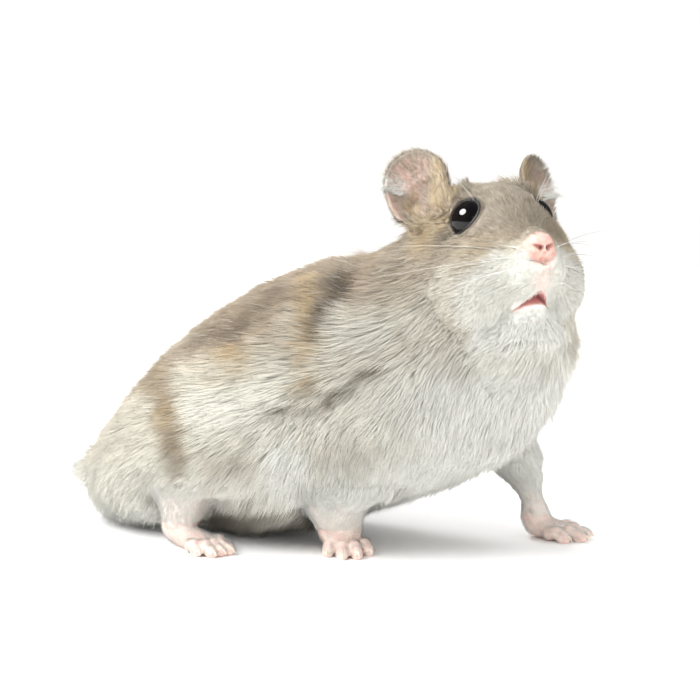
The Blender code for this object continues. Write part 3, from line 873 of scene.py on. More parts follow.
from_nose = unit(q - (5.0, 0.0, -1.0))
from_nose[:, 2] -= 0.25 * ramp(-8.0, -20.0, qx)
eye_near = 0.0
for side in SIDES:
    # Fur turns aside round an eye.
    away = q - EYE_SPOT[side]
    away = away - EYE_FACING[side] * (away @ EYE_FACING[side])[:, None]
    reach = span(away)
    near = ramp(EYE_RADIUS + 2.2, EYE_RADIUS + 0.3, reach) * (np.sign(qy) == SIDES[side])
    eye_near = most(eye_near, near)
    outward_way = away / most(reach, 0.1)[:, None]
    towards = most(0.0, -np.sum(from_nose * outward_way, axis=1))
    from_nose = unit(from_nose + outward_way * (towards * 1.7 * near + 0.12 * near)[:, None])


def sideways_from(back, out, up):
    """A way that leans out from the body's middle on either side."""
    return unit(np.stack([np.full(len(q), back), out * side_of_body, np.full(len(q), up)], 1))


neck_mask = ramp(-34.0, -20.0, qx) * (1.0 - head_mask) * (from_top < 110)
for way, share in ((sideways_from(-0.86, 0.22, -0.46), 0.6 * neck_mask),
                   (sideways_from(-0.22, 0.28, -1.0), chest_mask),
                   (from_nose @ HEAD_TURN.T, head_mask), (limb_down, limb_mask)):
    lie = mix(lie, way, share)
for make, heel, heading in FEET.values():
    turn = math.radians(heading)
    centre = np.array(foot_axes(heel, heading) @ Vector((make["length"] / 2, 0.0, 0.0)))
    near = ramp(make["length"] * 0.8, make["length"] * 0.6, np.hypot(px - centre[0], py - centre[1]))
    lie = mix(lie, (math.cos(turn), math.sin(turn), -0.1), near * foot_mask)
inner_ear = canal = ear_front = ear_tuft = ear_rim = 0.0
for side in SIDES:
    centre, outward, tip, facing = ear_axes(side)
    outward, tip = np.array(outward), np.array(tip)
    w = ear_place(places, side)
    out, high, _ = w.T
    near = ramp(9.0, 7.5, span(w)) * ear_mask
    inside = near * (((normals @ HEAD_TURN) @ np.array(facing)) > 0.05)
    inner_ear = most(inner_ear, inside)
    canal = most(canal, inside * ramp(1.25, 0.55, np.hypot((out - 1.1) / 1.7, (high + 2.2) / 2.4)))
    ear_front = most(ear_front, inside * ramp(-1.6, -3.4, out + 0.33 * high),
                     inside * ramp(-3.2, -4.8, high))
    ear_tuft = most(ear_tuft, inside * ramp(0.6, 2.2, out) * hump(high - 0.35 * (out - 2.0), 0.6, 1.0))
    ear_rim = most(ear_rim, near * ramp(0.80, 0.95, np.hypot(out / EAR_HALF_WIDTH, high / EAR_HALF_HEIGHT)))
    spread = np.clip(w[:, :1] / 7.0, -1.0, 1.0)
    ear_lie = tip + outward * (spread + 0.55 * (1.0 - spread) * inside[:, None])
    ear_lie = mix(ear_lie, outward * 1.0 - tip * 0.25, ear_tuft)
    lie = mix(lie, ear_lie @ HEAD_TURN.T, near)
lie = mix(lie, (-0.95, 0.0, -0.30), 0.85 * tail_mask)
lie = lie - normals * np.sum(lie * normals, axis=1)[:, None]
torn = ramp(0.55, 0.2, span(lie))  # where ways of lying meet
lie = unit(lie)

# %% Length, lift, density
length = np.interp(from_top, [0, 60, 100, 150, 180], [4.6, 5.2, 5.4, 4.8, 4.2])
length = mix(length, 5.0, chest_mask)
face_length = np.interp(qx, [-28.0, -20.0, -14.0, -9.0, -5.0, -2.0], [4.8, 3.4, 2.6, 2.0, 1.4, 0.8])
below = ramp(0.0, -9.0, qz) * ramp(-6.0, -14.0, qx)
face_length = face_length * (1.0 + 0.5 * below) * (1.0 - 0.22 * ramp(6.0, 11.0, qz))
chin_length = np.interp(-qz, [9.5, 10.5, 12.5, 16.0, 20.0], [0.7, 1.3, 2.0, 2.8, 4.2])
face_length = np.where(qz < -9.5, most(face_length, chin_length), face_length)
lip_near = ramp(2.0, 0.4, span((q - (-6.5, 0.0, -9.3)) / (1.3, 1.6, 1.0)) - 1.6)
face_length = face_length * (1.0 - 0.45 * lip_near) * (1.0 - 0.40 * eye_near)
length = mix(length, face_length, head_mask)
leg_length = np.interp(pz, [1.0, 4.0, 8.0, 14.0, 20.0], [0.7, 1.0, 1.5, 2.6, 4.8])
length = mix(length, leg_length, limb_mask)
sleeve = 0.0
for path in LEG_PATHS.values():
    # Above each leg the body's fur shortens little by little towards the leg's own.
    above_leg = ramp(10.0, 4.0, np.hypot(px - path[1, 0], py - path[1, 1]))
    length = length * (1.0 - 0.50 * above_leg * ramp(25.0, 14.0, pz) * (1.0 - limb_mask))
    away, size = line_and_size(places, path[1:])
    sleeve = most(sleeve, ramp(1.3, 0.0, away - size) * ramp(13.5, 8.5, pz + wave(places, 5.0, 41)))
length = mix(length, np.minimum(length, 1.9), sleeve)
velvet = limb_mask * ramp(13.5, 6.5, pz + 1.3 * wave(places, 3.5, 42))
length = mix(length, 0.9, velvet)
length = mix(length, 0.7, foot_mask)
for side in SIDES:
    # The fur that fills the front of an ear's root is short, so that it lies close.
    centre, outward, tip, facing = ear_axes(side)
    away = span(q - (np.array(centre) - np.array(tip) * 4.8))
    length = length * (1.0 - 0.45 * ramp(6.0, 3.0, away))
ear_length = 0.8 + 0.5 * inner_ear + 0.9 * ear_front + 1.3 * ear_tuft
length = mix(length, ear_length, ear_mask)
length = mix(length, 2.2, tail_mask)
length = length * (1.0 - 0.5 * parting) * (1.0 - 0.5 * torn)
lift = np.interp(length, [0.6, 1.2, 2.5, 6.0], [17.0, 20.0, 24.0, 28.0])
hang = ramp(106.0, 122.0, from_top) * (1.0 - limb_mask) * ramp(9.0, 0.0, px) * ramp(-22.0, -17.0, px)
lift = lift + (20.0 + 9.0 * wave(places, 1.5, 62)) * hang
lift = lift * (1.0 - 0.35 * head_mask * ramp(-9.0, -12.0, qz))
lift = np.radians(lift + 5.0 * wave(places, 9.0, 21) * ramp(2.0, 4.0, length))

nose_away = span((q - (-0.7, 0.0, -0.6)) / (2.35, 2.65, 2.5))
nose_mask = ramp(1.12, 0.84, nose_away + 0.05 * wave(places, 1.6, 8))
lip_skin = ramp(1.0, 0.45, span((q - (-1.8, 0.0, -4.8)) / (3.8, 3.0, 4.4)))
eye_hollow = most(*[ramp(EYE_RADIUS + 0.12, EYE_RADIUS - 0.05, span(q - EYE_SPOT[side]))
                    for side in SIDES])
sole = ramp(0.9, 0.35, pz) * foot_mask
bare = most(nose_mask * (1.0 - 0.5 * ramp(0.6, 1.8, qz)), mouth_mask, lip_mask * 0.9, 0.8 * lid_rim,
            eye_hollow, sole)
density = np.interp(length, [0.6, 1.0, 2.0, 4.0, 5.5], [44.0, 50.0, 42.0, 24.0, 18.0])
for change in (-0.40 * lip_skin * head_mask, -0.50 * foot_mask, 0.5 * ear_rim,
               -inner_ear * (1.0 - ear_rim) * (0.45 - 0.30 * ear_tuft - 0.35 * ear_front),
               -0.45 * velvet ** 2 * (1.0 - foot_mask), -ramp(0.25, 0.75, bare), -0.75 * parting):
    density = density * (1.0 + change)
width = np.interp(length, [0.6, 1.2, 2.5, 5.5], [0.045, 0.052, 0.068, 0.088])
width = width * (1.0 + 0.25 * head_mask * ramp(-5.0, -10.0, qx) * (1.0 - ear_mask))
print("hair from", round(float(length.min()), 2), "to", round(float(length.max()), 2), "mm long")

# %% Markings
# Grey-brown above and cream below. Three tongues of the back's colour reach down each
# flank, tipped with gold, with pale arches between them; ahead of the third runs a dark band
# of painted shade behind the neck. Each is laid along a line of places on the right flank, and
# again on the left.
# Hair shows its tip, so the markings are read where the tips lie, not at the roots.
standing = lie * np.cos(lift)[:, None] + normals * np.sin(lift)[:, None]
tips = places + standing * (0.78 * length)[:, None]
head_tips = in_head(tips)
(x, y, z), (ahead_of_nose, _, above_nose) = tips.T, head_tips.T
ragged = wave(tips, 5.0, 11) + 0.6 * wave(tips, 2.2, 12)
down = round_the_body(x, y, z) + 4.0 * ragged
on_the_right = np.stack([x, BODY_MIDDLE - np.abs(y - BODY_MIDDLE), z], 1)
HIP = [(-27.6, -10.8, 28.9, 4.2), (-22.8, -16.6, 27.4, 3.2), (-21.2, -18.5, 25.2, 3.0),
       (-20.0, -20.0, 22.3, 2.8), (-18.5, -20.7, 19.2, 2.6), (-18.0, -20.4, 15.8, 2.4),
       (-18.6, -19.4, 12.5, 1.8)]
LOIN = [(-16.5, -13.5, 35.0, 2.8), (-13.0, -15.0, 36.3, 3.0), (-9.3, -17.4, 35.2, 2.8),
        (-6.9, -19.0, 33.9, 2.0), (-6.1, -20.2, 31.8, 1.2)]
LOIN_DARK = [(-16.5, -13.0, 34.8, 1.5), (-13.0, -15.0, 36.3, 1.9), (-9.5, -15.1, 38.0, 2.2),
             (-7.3, -14.4, 39.8, 2.2), (-5.7, -12.7, 41.9, 2.1), (-4.1, -10.9, 43.6, 1.6)]
RIB = [(1.1, -8.1, 46.8, 2.0), (2.5, -11.0, 45.5, 1.9), (4.0, -14.1, 43.4, 1.8), (4.7, -16.6, 40.7, 1.7),
       (5.4, -18.3, 38.1, 1.5), (5.7, -19.5, 35.8, 1.4), (6.1, -20.3, 33.4, 1.3), (6.8, -20.8, 31.0, 1.2),
       (7.7, -20.9, 29.1, 0.9)]
RIB_BAR = [(1.9, -20.4, 33.0, 0.8), (4.7, -20.3, 33.5, 0.9), (9.6, -19.9, 34.2, 0.5)]
# SHADE is a band of painted shade behind the neck, laid like the markings.
SHADE = [(7.7, -9.4, 47.2, 2.6), (7.7, -12.6, 45.1, 2.7), (7.5, -14.7, 43.1, 2.3), (7.0, -16.3, 41.3, 1.7),
         (6.3, -17.9, 38.9, 1.2), (6.0, -18.6, 37.7, 0.9)]


def laid(path, soft=1.0):
    """One within a band laid along the path, whose stations end in its half width."""
    away, half = line_and_size(on_the_right, path)
    return ramp(half + 1.1 * soft, half - 1.1 * soft, away + np.minimum(0.55, 0.25 * half) * ragged)


edge = np.interp(x, [-44.0, -30.0, -22.0, -19.0, -14.0, -10.0, -6.0, -3.0, 0.4, 3.0, 9.0, 13.0, 30.0],
                 [38.0, 48.0, 49.0, 50.0, 57.0, 62.0, 63.0, 57.0, 49.0, 44.0, 44.0, 54.0, 56.0])
hip, loin, rib, shade = laid(HIP, 1.7), laid(LOIN, 1.4), laid(RIB), laid(SHADE, 1.3)
loin_dark, rib_bar = laid(LOIN_DARK, 1.3), laid(RIB_BAR, 0.6)
rump = ramp(-18.0, -24.0, x) * hump(down, 66.0, 26.0)
back = most(ramp(5.0, -5.0, down - edge) * (1.0 - 0.22 * ramp(-16.0, -24.0, x)),
            0.92 * hip, 0.9 * loin, 0.8 * rib, 0.75 * rib_bar, 0.8 * shade, 0.16 * rump,
            0.72 * hump(x, 1.0, 5.0) * hump(down, 58.0, 13.0),
            (0.55 + 0.14 * ragged) * ramp(24.0, 14.0, z) * ramp(-16.0, -10.0, x),
            (0.24 + 0.05 * ragged) * ramp(1.0, 8.0, x) * ramp(112.0, 92.0, down))
gold = most(0.85 * rib * ramp(24.0, 40.0, down) * ramp(82.0, 66.0, down), 0.60 * rib,
            0.80 * loin * ramp(52.0, 62.0, down), 0.50 * hip * hump(down, 78.0, 12.0),
            0.30 * hump(down, edge + 4.0, 7.0) * (x < 0.0), 0.14 * rump)
dark = most(0.22 * hump(from_top, 0.0, 8.0), shade, 0.52 * loin_dark,
            hip * (0.12 + 0.26 * ramp(82.0, 94.0, down)), 0.35 * rib_bar,
            0.22 * back * ramp(0.2, 1.2, wave(places, 7.0, 31)))

# %% Markings of the head and legs
grey_leg = 0.45 * ramp(7.5, 2.0, span(places - (33.4, 13.6, 13.5)))
ARM_STREAK = [(23.1, -17.6, 24.2), (26.0, -16.0, 27.2), (30.4, -13.7, 30.3)]
grey_arm = 0.34 * ramp(5.0, 1.0, path_distance(tips, ARM_STREAK)[0])
crown_line = np.interp(ahead_of_nose, [-25.4, -20.9, -17.4, -13.2, -10.7, -7.4, -4.0, -1.3],
                       [-6.6, -5.8, -3.8, -1.1, 0.6, 0.9, 1.3, 1.0])
below_crown = crown_line - above_nose
soft = np.interp(ahead_of_nose, [-14.0, -5.0], [3.2, 1.4])
crown = ramp(1.0, -1.0, (below_crown - 0.5 * ragged) / soft)
speckle = wave(head_tips, 1.7, 51) + 0.6 * wave(head_tips, 0.9, 52)
crown = np.clip(crown + 0.13 * speckle * (1.0 - np.abs(2.0 * crown - 1.0) * 0.4), 0.0, 1.0)
mottled = (0.34 + 0.13 * speckle) * (1.0 - crown) * (0.55 + 0.45 * ramp(-3.5, -8.5, ahead_of_nose))
back = mix(back, 0.85 * crown + mottled, head_mask)
ear_round = most(*[ramp(6.5, 2.5, span((q - (-18.0, 9.0 * sign, 6.5)) * (0.9, 1.0, 0.75)))
                   for sign in SIDES.values()])
head_gold = most(0.60 * ear_round, 0.45 * hump(qx, -6.5, 4.0) * hump(qz, 0.2, 2.4))
gold = mix(gold, head_gold, head_mask)
shaded_cheek = 0.35 * ramp(4.5, 1.0, span((q - (-9.0, 9.6, -7.0)) / (1.0, 1.0, 1.6)))
head_dark = (0.30 * crown * ramp(0.5, 1.5, wave(head_tips, 0.9, 53))
             + 0.20 * crown * ramp(-0.2, 1.2, wave(places, 5.0, 32) + 0.5 * speckle))
# Below and behind each eye the hair is darkened: partly dark skin at the lid's corner, partly painted
# shade.
for side, sign in SIDES.items():
    corner = EYE_SPOT[side] + (-1.0, 3.0 * sign, -2.6)
    head_dark = most(head_dark, 0.65 * ramp(2.4, 0.8, span(q - corner)))
dark = mix(dark, most(head_dark, shaded_cheek), head_mask)
back = mix(back, 0.85 * (1.0 - ear_tuft), ear_mask)
gold = mix(gold, (0.50 * ear_front + 0.7 * canal) * (1.0 - ear_tuft), ear_mask)
dark = mix(dark, 0.5 * (1.0 - inner_ear), ear_mask)
arm_white, _ = path_distance(places, [(4.0, -13.0, 9.0), (2.5, -17.0, 14.5), (4.5, -19.0, 18.5)])
lower_leg = limb_mask * ramp(16.0, 9.0, z)
white_low = most(ramp(112.0, 142.0, down) * (1.0 - head_mask), ramp(6.0, 2.0, arm_white),
                 chest_mask * ramp(58.0, 84.0, from_top + 6.0 * ragged), lower_leg)
white_start = np.interp(ahead_of_nose, [-14.0, -10.0, -6.0], [11.0, 6.0, 0.8])
white_head = ramp(0.0, 1.0, (below_crown - white_start + 0.5 * ragged) / (1.4 * soft))
white_head = (0.62 + 0.38 * ramp(-8.5, -11.5, qz)) * white_head * head_mask * (1.0 - ear_mask)
white = most(white_low, white_head, foot_mask, tail_mask * 0.8, ear_tuft)
keep = (1.0 - lower_leg) * (1.0 - tail_mask)
back, gold = [np.clip(share, 0.0, 1.0) * keep * (1.0 - white) for share in (back, gold)]
dark = dark * keep * (1.0 - white_low)
# Painted shade in the two creases behind the right shoulder, together with the grey underfur that the
# parting shows: the hair there is darkened and kept from white.
crease_shade_and_underfur = 0.0
for crease, strength in ((SHOULDER_PARTING, 1.0), (FLANK_PARTING, 0.9)):
    away, along = parting_distance(tips, crease)
    slim = 0.42 + 0.62 * hump(along, 0.45, 0.25)
    crease_shade_and_underfur = most(crease_shade_and_underfur, strength * ramp(slim * 1.8, slim * 0.5, away))
# Painted shade: the hair tips low on the belly between the legs are darkened, in streaks, and kept from
# white where the body shades them.
under = 0.85 * ramp(7.8, 4.8, z + 1.7 * wave(places, 0.9, 61)) * ramp(-21.0, -18.0, x)
under = under * ramp(12.0, 7.0, x) * (1.0 - limb_mask) * (1.0 - foot_mask)
under = under * (1.0 - chest_mask) * (1.0 - limb_mask) * (1.0 - tail_mask)
white = white * (1.0 - most(under, crease_shade_and_underfur))
dark = most(dark, under, grey_leg * (1.0 - foot_mask), grey_arm, crease_shade_and_underfur)
cup_pink = inner_ear * (0.8 - 0.4 * ear_front) * (1.0 - 0.5 * ear_rim) * (1.0 - 0.5 * canal)
pink = most(ramp(1.22, 0.98, nose_away), 0.75 * lip_skin, 0.8 * lip_mask, foot_mask * 0.9,
            0.50 * velvet ** 2, cup_pink, 0.30 * ear_mask, tail_mask * 0.2)
wings = ramp(1.6, 0.6, span((np.abs(q) - (0.4, 2.0, 1.6)) * (0.8, 1.0, 0.8)))
blush = most((0.62 + 0.08 * wings * (qz < 0.0)) * ramp(1.34, 1.14, nose_away), 0.35 * lip_skin,
             0.8 * lip_mask, 0.24 * foot_mask, 0.16 * velvet, 0.9 * canal,
             0.55 * inner_ear * (1.0 - ear_rim))

# %% Onto the skin
def keep_on(mesh, name, values):
    kind = "FLOAT_VECTOR" if values.ndim == 2 else "FLOAT"
    slots = mesh.attributes.new(name, kind, "POINT").data
    slots.foreach_set("vector" if values.ndim == 2 else "value",
                      np.ascontiguousarray(values, np.float32).ravel())


for name, values in {
    "lie": lie, "hair length": length * MM, "hair width": width * MM, "hair lift": lift,
    "hair density": density, "markings": np.stack([back, gold, dark], 1), "white": white,
    "pink": pink, "blush": blush, "mouth": mouth_mask, "lid": most(lid_rim, eye_hollow),
    # The hollow share marks nostrils, the lip's cleft and the ear canals for painted shade.
    "hollow": most(nostril_mask, 0.7 * cleft_mask, 0.35 * canal),
}.items():
    keep_on(skin.data, name, values)
print("expected hairs:", int(density.mean() * 1000), "per square centimetre, more or less")

# %% [markdown]
# ## Node helpers
# Node trees are written as one line for each node, into the tree that was opened last.
# Values that are sockets are linked, and all others are typed in.

# %% Helpers for trees
VECTOR, NUMBER, COLOUR = "NodeSocketVector", "NodeSocketFloat", "NodeSocketColor"
GEOMETRY, WHOLE, FINISH = "NodeSocketGeometry", "NodeSocketInt", "NodeSocketMaterial"
OPENED = []


def join(value, socket):
    if isinstance(value, bpy.types.NodeSocket):
        OPENED[-1].links.new(value, socket)
    else:
        socket.default_value = value


def node(kind, values=None, out=0, **settings):
    """Adds a node and hands back one of its outputs, or all of them if out is None."""
    tree = OPENED[-1]
    made = tree.nodes.new(kind)
    for name, value in settings.items():
        setattr(made, name, value)
    for key, value in (values or {}).items():
        join(value, made.inputs[key])
    made.location = (180.0 * (len(tree.nodes) % 12), -220.0 * (len(tree.nodes) // 12))
    return made.outputs if out is None else made.outputs[out]


def calc(operation, *values, clamp=False):
    return node("ShaderNodeMath", dict(enumerate(values)), operation=operation, use_clamp=clamp)


def times(*values):
    return reduce(lambda first, second: calc("MULTIPLY", first, second), values)


def vector(operation, *values):
    slots = (0, "Scale" if operation == "SCALE" else 1)
    return node("ShaderNodeVectorMath", dict(zip(slots, values)), operation=operation)


def ranged(value, low, high, to_low=0.0, to_high=1.0):
    return node("ShaderNodeMapRange", {"Value": value, "From Min": low, "From Max": high, "To Min": to_low,
                                       "To Max": to_high}, interpolation_type="SMOOTHSTEP")


def blended(share, first, second, kind="MIX"):
    return node("ShaderNodeMix", {"Factor": share, 6: first, 7: second}, 2, data_type="RGBA",
                blend_type=kind)


def noise(place, scale, detail=2.0, out=0):
    return node("ShaderNodeTexNoise", {"Vector": place, "Scale": scale, "Detail": detail}, out)


def bump(height, strength, distance):
    return node("ShaderNodeBump", {"Height": height, "Strength": strength, "Distance": distance})


def object_place():
    return node("ShaderNodeTexCoord", out="Object")


def painted(name, out="Fac"):
    """What the mesh carries under this name."""
    return node("ShaderNodeAttribute", out=out, attribute_name=name)


def group_tree(name, kind, inputs, outputs):
    """Opens a node group: inputs as (name, type, default), outputs as (name, type)."""
    tree = bpy.data.node_groups.new(name, kind)
    OPENED.append(tree)
    for label, socket_type, default in inputs:
        made = tree.interface.new_socket(label, in_out="INPUT", socket_type=socket_type)
        if default is not None:
            made.default_value = default
    for label, socket_type in outputs:
        tree.interface.new_socket(label, in_out="OUTPUT", socket_type=socket_type)
    return tree, tree.nodes.new("NodeGroupInput").outputs, tree.nodes.new("NodeGroupOutput").inputs


def placed(group, values):
    return node("ShaderNodeGroup", values, None, node_tree=group)


def paint(red, green, blue):
    """A colour as a painter's chart gives it, 0 to 255, made linear."""
    return (*[(c / 255 / 12.92) if c <= 10 else ((c / 255 + 0.055) / 1.055) ** 2.4
              for c in (red, green, blue)], 1.0)


def material(name):
    """Opens a material's tree."""
    made = bpy.data.materials.new(name)
    made.use_nodes = True
    OPENED.append(made.node_tree)
    return made


def dressed(made, looks):
    """Fills the sockets of a material's shader."""
    shader = made.node_tree.nodes["Principled BSDF"].inputs
    for name, value in looks.items():
        join(value, shader[name])
    return made


def finished(mesh, finish):
    """Gives a mesh one finish and smooth shading."""
    mesh.materials.clear()
    mesh.materials.append(finish)
    for polygon in mesh.polygons:
        polygon.use_smooth = True


# %% [markdown]
# ## Coat colour
# One hair of this animal is slate grey at its root and takes the colour of its place
# only near the tip. Neighbours differ a little in tone, which keeps the coat from
# looking painted. The group is used by the tufts and by the skin below them.

# %% The coat colour group
def coat_colour_group():
    tree, inside, out = group_tree("coat colour", "ShaderNodeTree", [
        ("Markings", VECTOR, None), ("White", NUMBER, 0.0), ("Pink", NUMBER, 0.0),
        ("Along", NUMBER, 1.0), ("Tone", NUMBER, 0.5), ("Root Shade", NUMBER, 0.36),
        ("Flank", COLOUR, paint(247, 245, 231)), ("Back", COLOUR, paint(180, 163, 141)),
        ("Gold", COLOUR, paint(210, 181, 131)), ("Dark", COLOUR, paint(98, 84, 64)),
        ("Belly", COLOUR, paint(252, 251, 243)), ("Root", COLOUR, paint(158, 153, 143)),
    ], [("Color", COLOUR)])
    back, gold, dark = node("ShaderNodeSeparateXYZ", {0: inside["Markings"]}, None)
    colour = inside["Flank"]
    for share, over in ((back, "Back"), (gold, "Gold"), (dark, "Dark"), (inside["White"], "Belly"),
                        (ranged(inside["Tone"], 0.72, 0.95, 0.0, 0.40), "Belly")):
        colour = blended(share, colour, inside[over])
    coloured = calc("MAXIMUM", back, calc("MAXIMUM", gold, dark))
    rooted = times(ranged(inside["Along"], 0.75, 0.0), inside["Root Shade"],
                   calc("SUBTRACT", 1.0, times(inside["White"], 0.72)),
                   ranged(coloured, 0.0, 0.7, 0.45, 1.0), calc("SUBTRACT", 1.0, inside["Pink"]))
    colour = blended(rooted, colour, inside["Root"])
    level = ranged(inside["Tone"], 0.0, 0.7, 0.87, 1.04)
    shade = node("ShaderNodeCombineColor", {0: level, 1: level, 2: level})
    join(blended(1.0, colour, shade, "MULTIPLY"), out["Color"])
    return tree


coat_colour = coat_colour_group()
print("coat colour has", len(coat_colour.nodes), "nodes")


# %% [markdown]
# ## Bare skin
# Nose, lips, feet and the insides of the ears are thin pink skin with the blood showing
# through. It is mottled, with fine creases, and a little moist; nostrils, the cleft of the lip
# and the ear canals are made darker and redder with painted shade. The skin's finish blends
# from coat colour to this by the attribute that says how bare it is.

# %% The bare skin group
def bare_skin_group():
    tree, inside, out = group_tree("bare skin", "ShaderNodeTree", [
        ("Place", VECTOR, None), ("Hollow", NUMBER, 0.0), ("Mouth", NUMBER, 0.0), ("Blush", NUMBER, 0.3),
        ("Mottle Scale", NUMBER, 700.0), ("Crease Scale", NUMBER, 2600.0), ("Fine Scale", NUMBER, 5200.0),
        ("Pale", COLOUR, paint(240, 217, 205)), ("Flushed", COLOUR, paint(208, 149, 136)),
        ("Hollow Shade", COLOUR, paint(138, 76, 66)), ("Mouth Color", COLOUR, paint(204, 148, 144)),
    ], [("Color", COLOUR), ("Roughness", NUMBER), ("Height", NUMBER)])
    mottle = noise(inside["Place"], inside["Mottle Scale"], 3.0)
    crease = node("ShaderNodeTexVoronoi", {"Vector": inside["Place"], "Scale": inside["Crease Scale"]},
                  feature="DISTANCE_TO_EDGE")
    fine = noise(inside["Place"], inside["Fine Scale"])
    flush = calc("ADD", inside["Blush"], ranged(mottle, 0.3, 0.7, -0.22, 0.22), clamp=True)
    colour = blended(flush, inside["Pale"], inside["Flushed"])
    # Painted shade: nostrils, the lip's cleft and the ear canals darken towards the hollow shade colour.
    colour = blended(inside["Hollow"], colour, inside["Hollow Shade"])
    join(blended(inside["Mouth"], colour, inside["Mouth Color"]), out["Color"])
    join(ranged(fine, 0.2, 0.8, 0.38, 0.62), out["Roughness"])
    join(calc("ADD", times(ranged(crease, 0.0, 0.12), 0.7), times(fine, 0.5)), out["Height"])
    return tree


bare_skin = bare_skin_group()
skin_finish = material("skin")
bare_look = placed(bare_skin, {"Place": object_place(), "Hollow": painted("hollow"),
                               "Mouth": painted("mouth"), "Blush": painted("blush")})
furred = placed(coat_colour, {"Markings": painted("markings", "Vector"), "White": painted("white"),
                              "Along": 0.42, "Tone": 0.45})
colour = blended(calc("MAXIMUM", painted("pink"), painted("mouth")), furred["Color"], bare_look["Color"])
finished(skin.data, dressed(skin_finish, {
    "Base Color": blended(painted("lid"), colour, paint(30, 25, 24)), "Roughness": bare_look["Roughness"],
    "Normal": bump(bare_look["Height"], 0.35, 0.00006), "Specular IOR Level": 0.4,
    "Subsurface Weight": 0.18, "Subsurface Radius": (1.0, 0.42, 0.28), "Subsurface Scale": 0.0009}))
print("skin finished")


# %% [markdown]
# ## Hair
# A tuft is a slim closed spindle of six faces. Its shading leans towards the direction
# of the skin below it, so that thousands of them read as one soft surface and not as
# splinters, while their own roundness still glints a little.

# %% Hair finish
def soft_normal_group():
    tree, inside, out = group_tree("soft normal", "ShaderNodeTree", [
        ("Skin Normal", VECTOR, None), ("Softness", NUMBER, 0.6)], [("Normal", VECTOR)])
    own = node("ShaderNodeNewGeometry", out="Normal")
    skinward = vector("SCALE", inside["Skin Normal"], inside["Softness"])
    rest = vector("SCALE", own, calc("SUBTRACT", 1.0, inside["Softness"]))
    join(vector("NORMALIZE", vector("ADD", skinward, rest)), out["Normal"])
    return tree


soft_normal = soft_normal_group()
hair_finish = material("coat hair")
tone = painted("tone")
furred = placed(coat_colour, {"Markings": painted("markings", "Vector"), "White": painted("white"),
                              "Pink": painted("pink"), "Along": painted("along"), "Tone": tone})
leaned = placed(soft_normal, {"Skin Normal": painted("skin normal", "Vector"), "Softness": 0.78})
dressed(hair_finish, {"Base Color": furred["Color"], "Roughness": ranged(tone, 0.0, 1.0, 0.5, 0.75),
                      "Normal": leaned["Normal"], "Specular IOR Level": 0.25})

# %% [markdown]
# ## An unwrap of the skin
# Each tuft takes its colour in the finished model from a patch at its root's place on a
# flat map of the skin, so the skin is unwrapped before anything grows.

# %% Unwrap
SKIN_MAP = "skin map"
skin.data.uv_layers.new(name=SKIN_MAP)
bpy.context.view_layer.objects.active = skin
skin.select_set(True)
bpy.ops.object.mode_set(mode="EDIT")
bpy.ops.mesh.select_all(action="SELECT")
bpy.ops.uv.smart_project(angle_limit=math.radians(66.0), island_margin=0.001)
bpy.ops.object.mode_set(mode="OBJECT")
skin.select_set(False)
keep_on(skin.data, "skin normal", points_of(skin.data)[1])
uv = np.empty(len(skin.data.loops) * 2, np.float32)
skin.data.uv_layers[SKIN_MAP].data.foreach_get("uv", uv)
print("unwrap spans", uv.reshape(-1, 2).min(0).round(2), "to", uv.reshape(-1, 2).max(0).round(2))

# %% [markdown]
# ## The coat tree
# Geometry Nodes strew roots over the skin and set a spindle on each. Two things make
# strewn spindles look like fur. Each hair bows: it leaves the skin steeply and then lies
# over. And hairs gather: every root looks up the nearest of a sparser set of lock
# roots, and its tip is drawn towards that lock's tip.

# %% One tuft
TUFT_PATCH = 0.003  # size of a tuft's patch on the unwrap
TUFT_BELLY = 0.36  # where along the hair it is thickest
ring = [(0.5 * math.cos(turn), 0.5 * math.sin(turn), TUFT_BELLY)
        for turn in (math.radians(90), math.radians(210), math.radians(330))]
tuft_mesh = bpy.data.meshes.new("tuft")
tuft_mesh.from_pydata([(0.0, 0.0, 0.0), *ring, (0.0, 0.0, 1.0)], [],
                      [(0, 2, 1), (0, 3, 2), (0, 1, 3), (1, 2, 4), (2, 3, 4), (3, 1, 4)])
keep_on(tuft_mesh, "along", np.array([0.0, TUFT_BELLY, TUFT_BELLY, TUFT_BELLY, 1.0]))
keep_on(tuft_mesh, "belly", np.array([0.0, 1.0, 1.0, 1.0, 0.0]))
keep_on(tuft_mesh, "patch", np.array([(0, -0.5, 0), (-0.5, 0, 0), (0.5, 0.05, 0), (0, -0.05, 0),
                                      (0, 0.5, 0)]) * TUFT_PATCH)
for polygon in tuft_mesh.polygons:
    polygon.use_smooth = True
tuft = bpy.data.objects.new("tuft", tuft_mesh)
print("a tuft has", len(tuft_mesh.polygons), "faces")

# %% Helpers for growing
ROWS = "FLOAT_VECTOR"
LOCK_SEED = 77
FLOOR_GAP = 0.00015
SIDE_ROOM = 1.04  # tips stay within this share of the solids' reach to the left
FAR = 1.0


def named(name, kind="FLOAT"):
    return node("GeometryNodeInputNamedAttribute", {"Name": name}, data_type=kind)


def chance(low, high, seed):
    return node("FunctionNodeRandomValue", {2: low, 3: high, 8: seed}, 1, data_type="FLOAT")


def store(geometry, name, value, kind="FLOAT", domain="POINT"):
    return node("GeometryNodeStoreNamedAttribute", {"Geometry": geometry, "Name": name, "Value": value},
                data_type=kind, domain=domain)


def strewn(mesh, density, seed):
    return node("GeometryNodeDistributePointsOnFaces", {"Mesh": mesh, "Density": density, "Seed": seed})


def scaled(way, amount):
    return vector("SCALE", way, amount)


def handed_out(tree, geometry, finish, out):
    """The tree's end: a finish for everything, and the way out."""
    join(node("GeometryNodeSetMaterial", {"Geometry": geometry, "Material": finish}), out)
    return tree


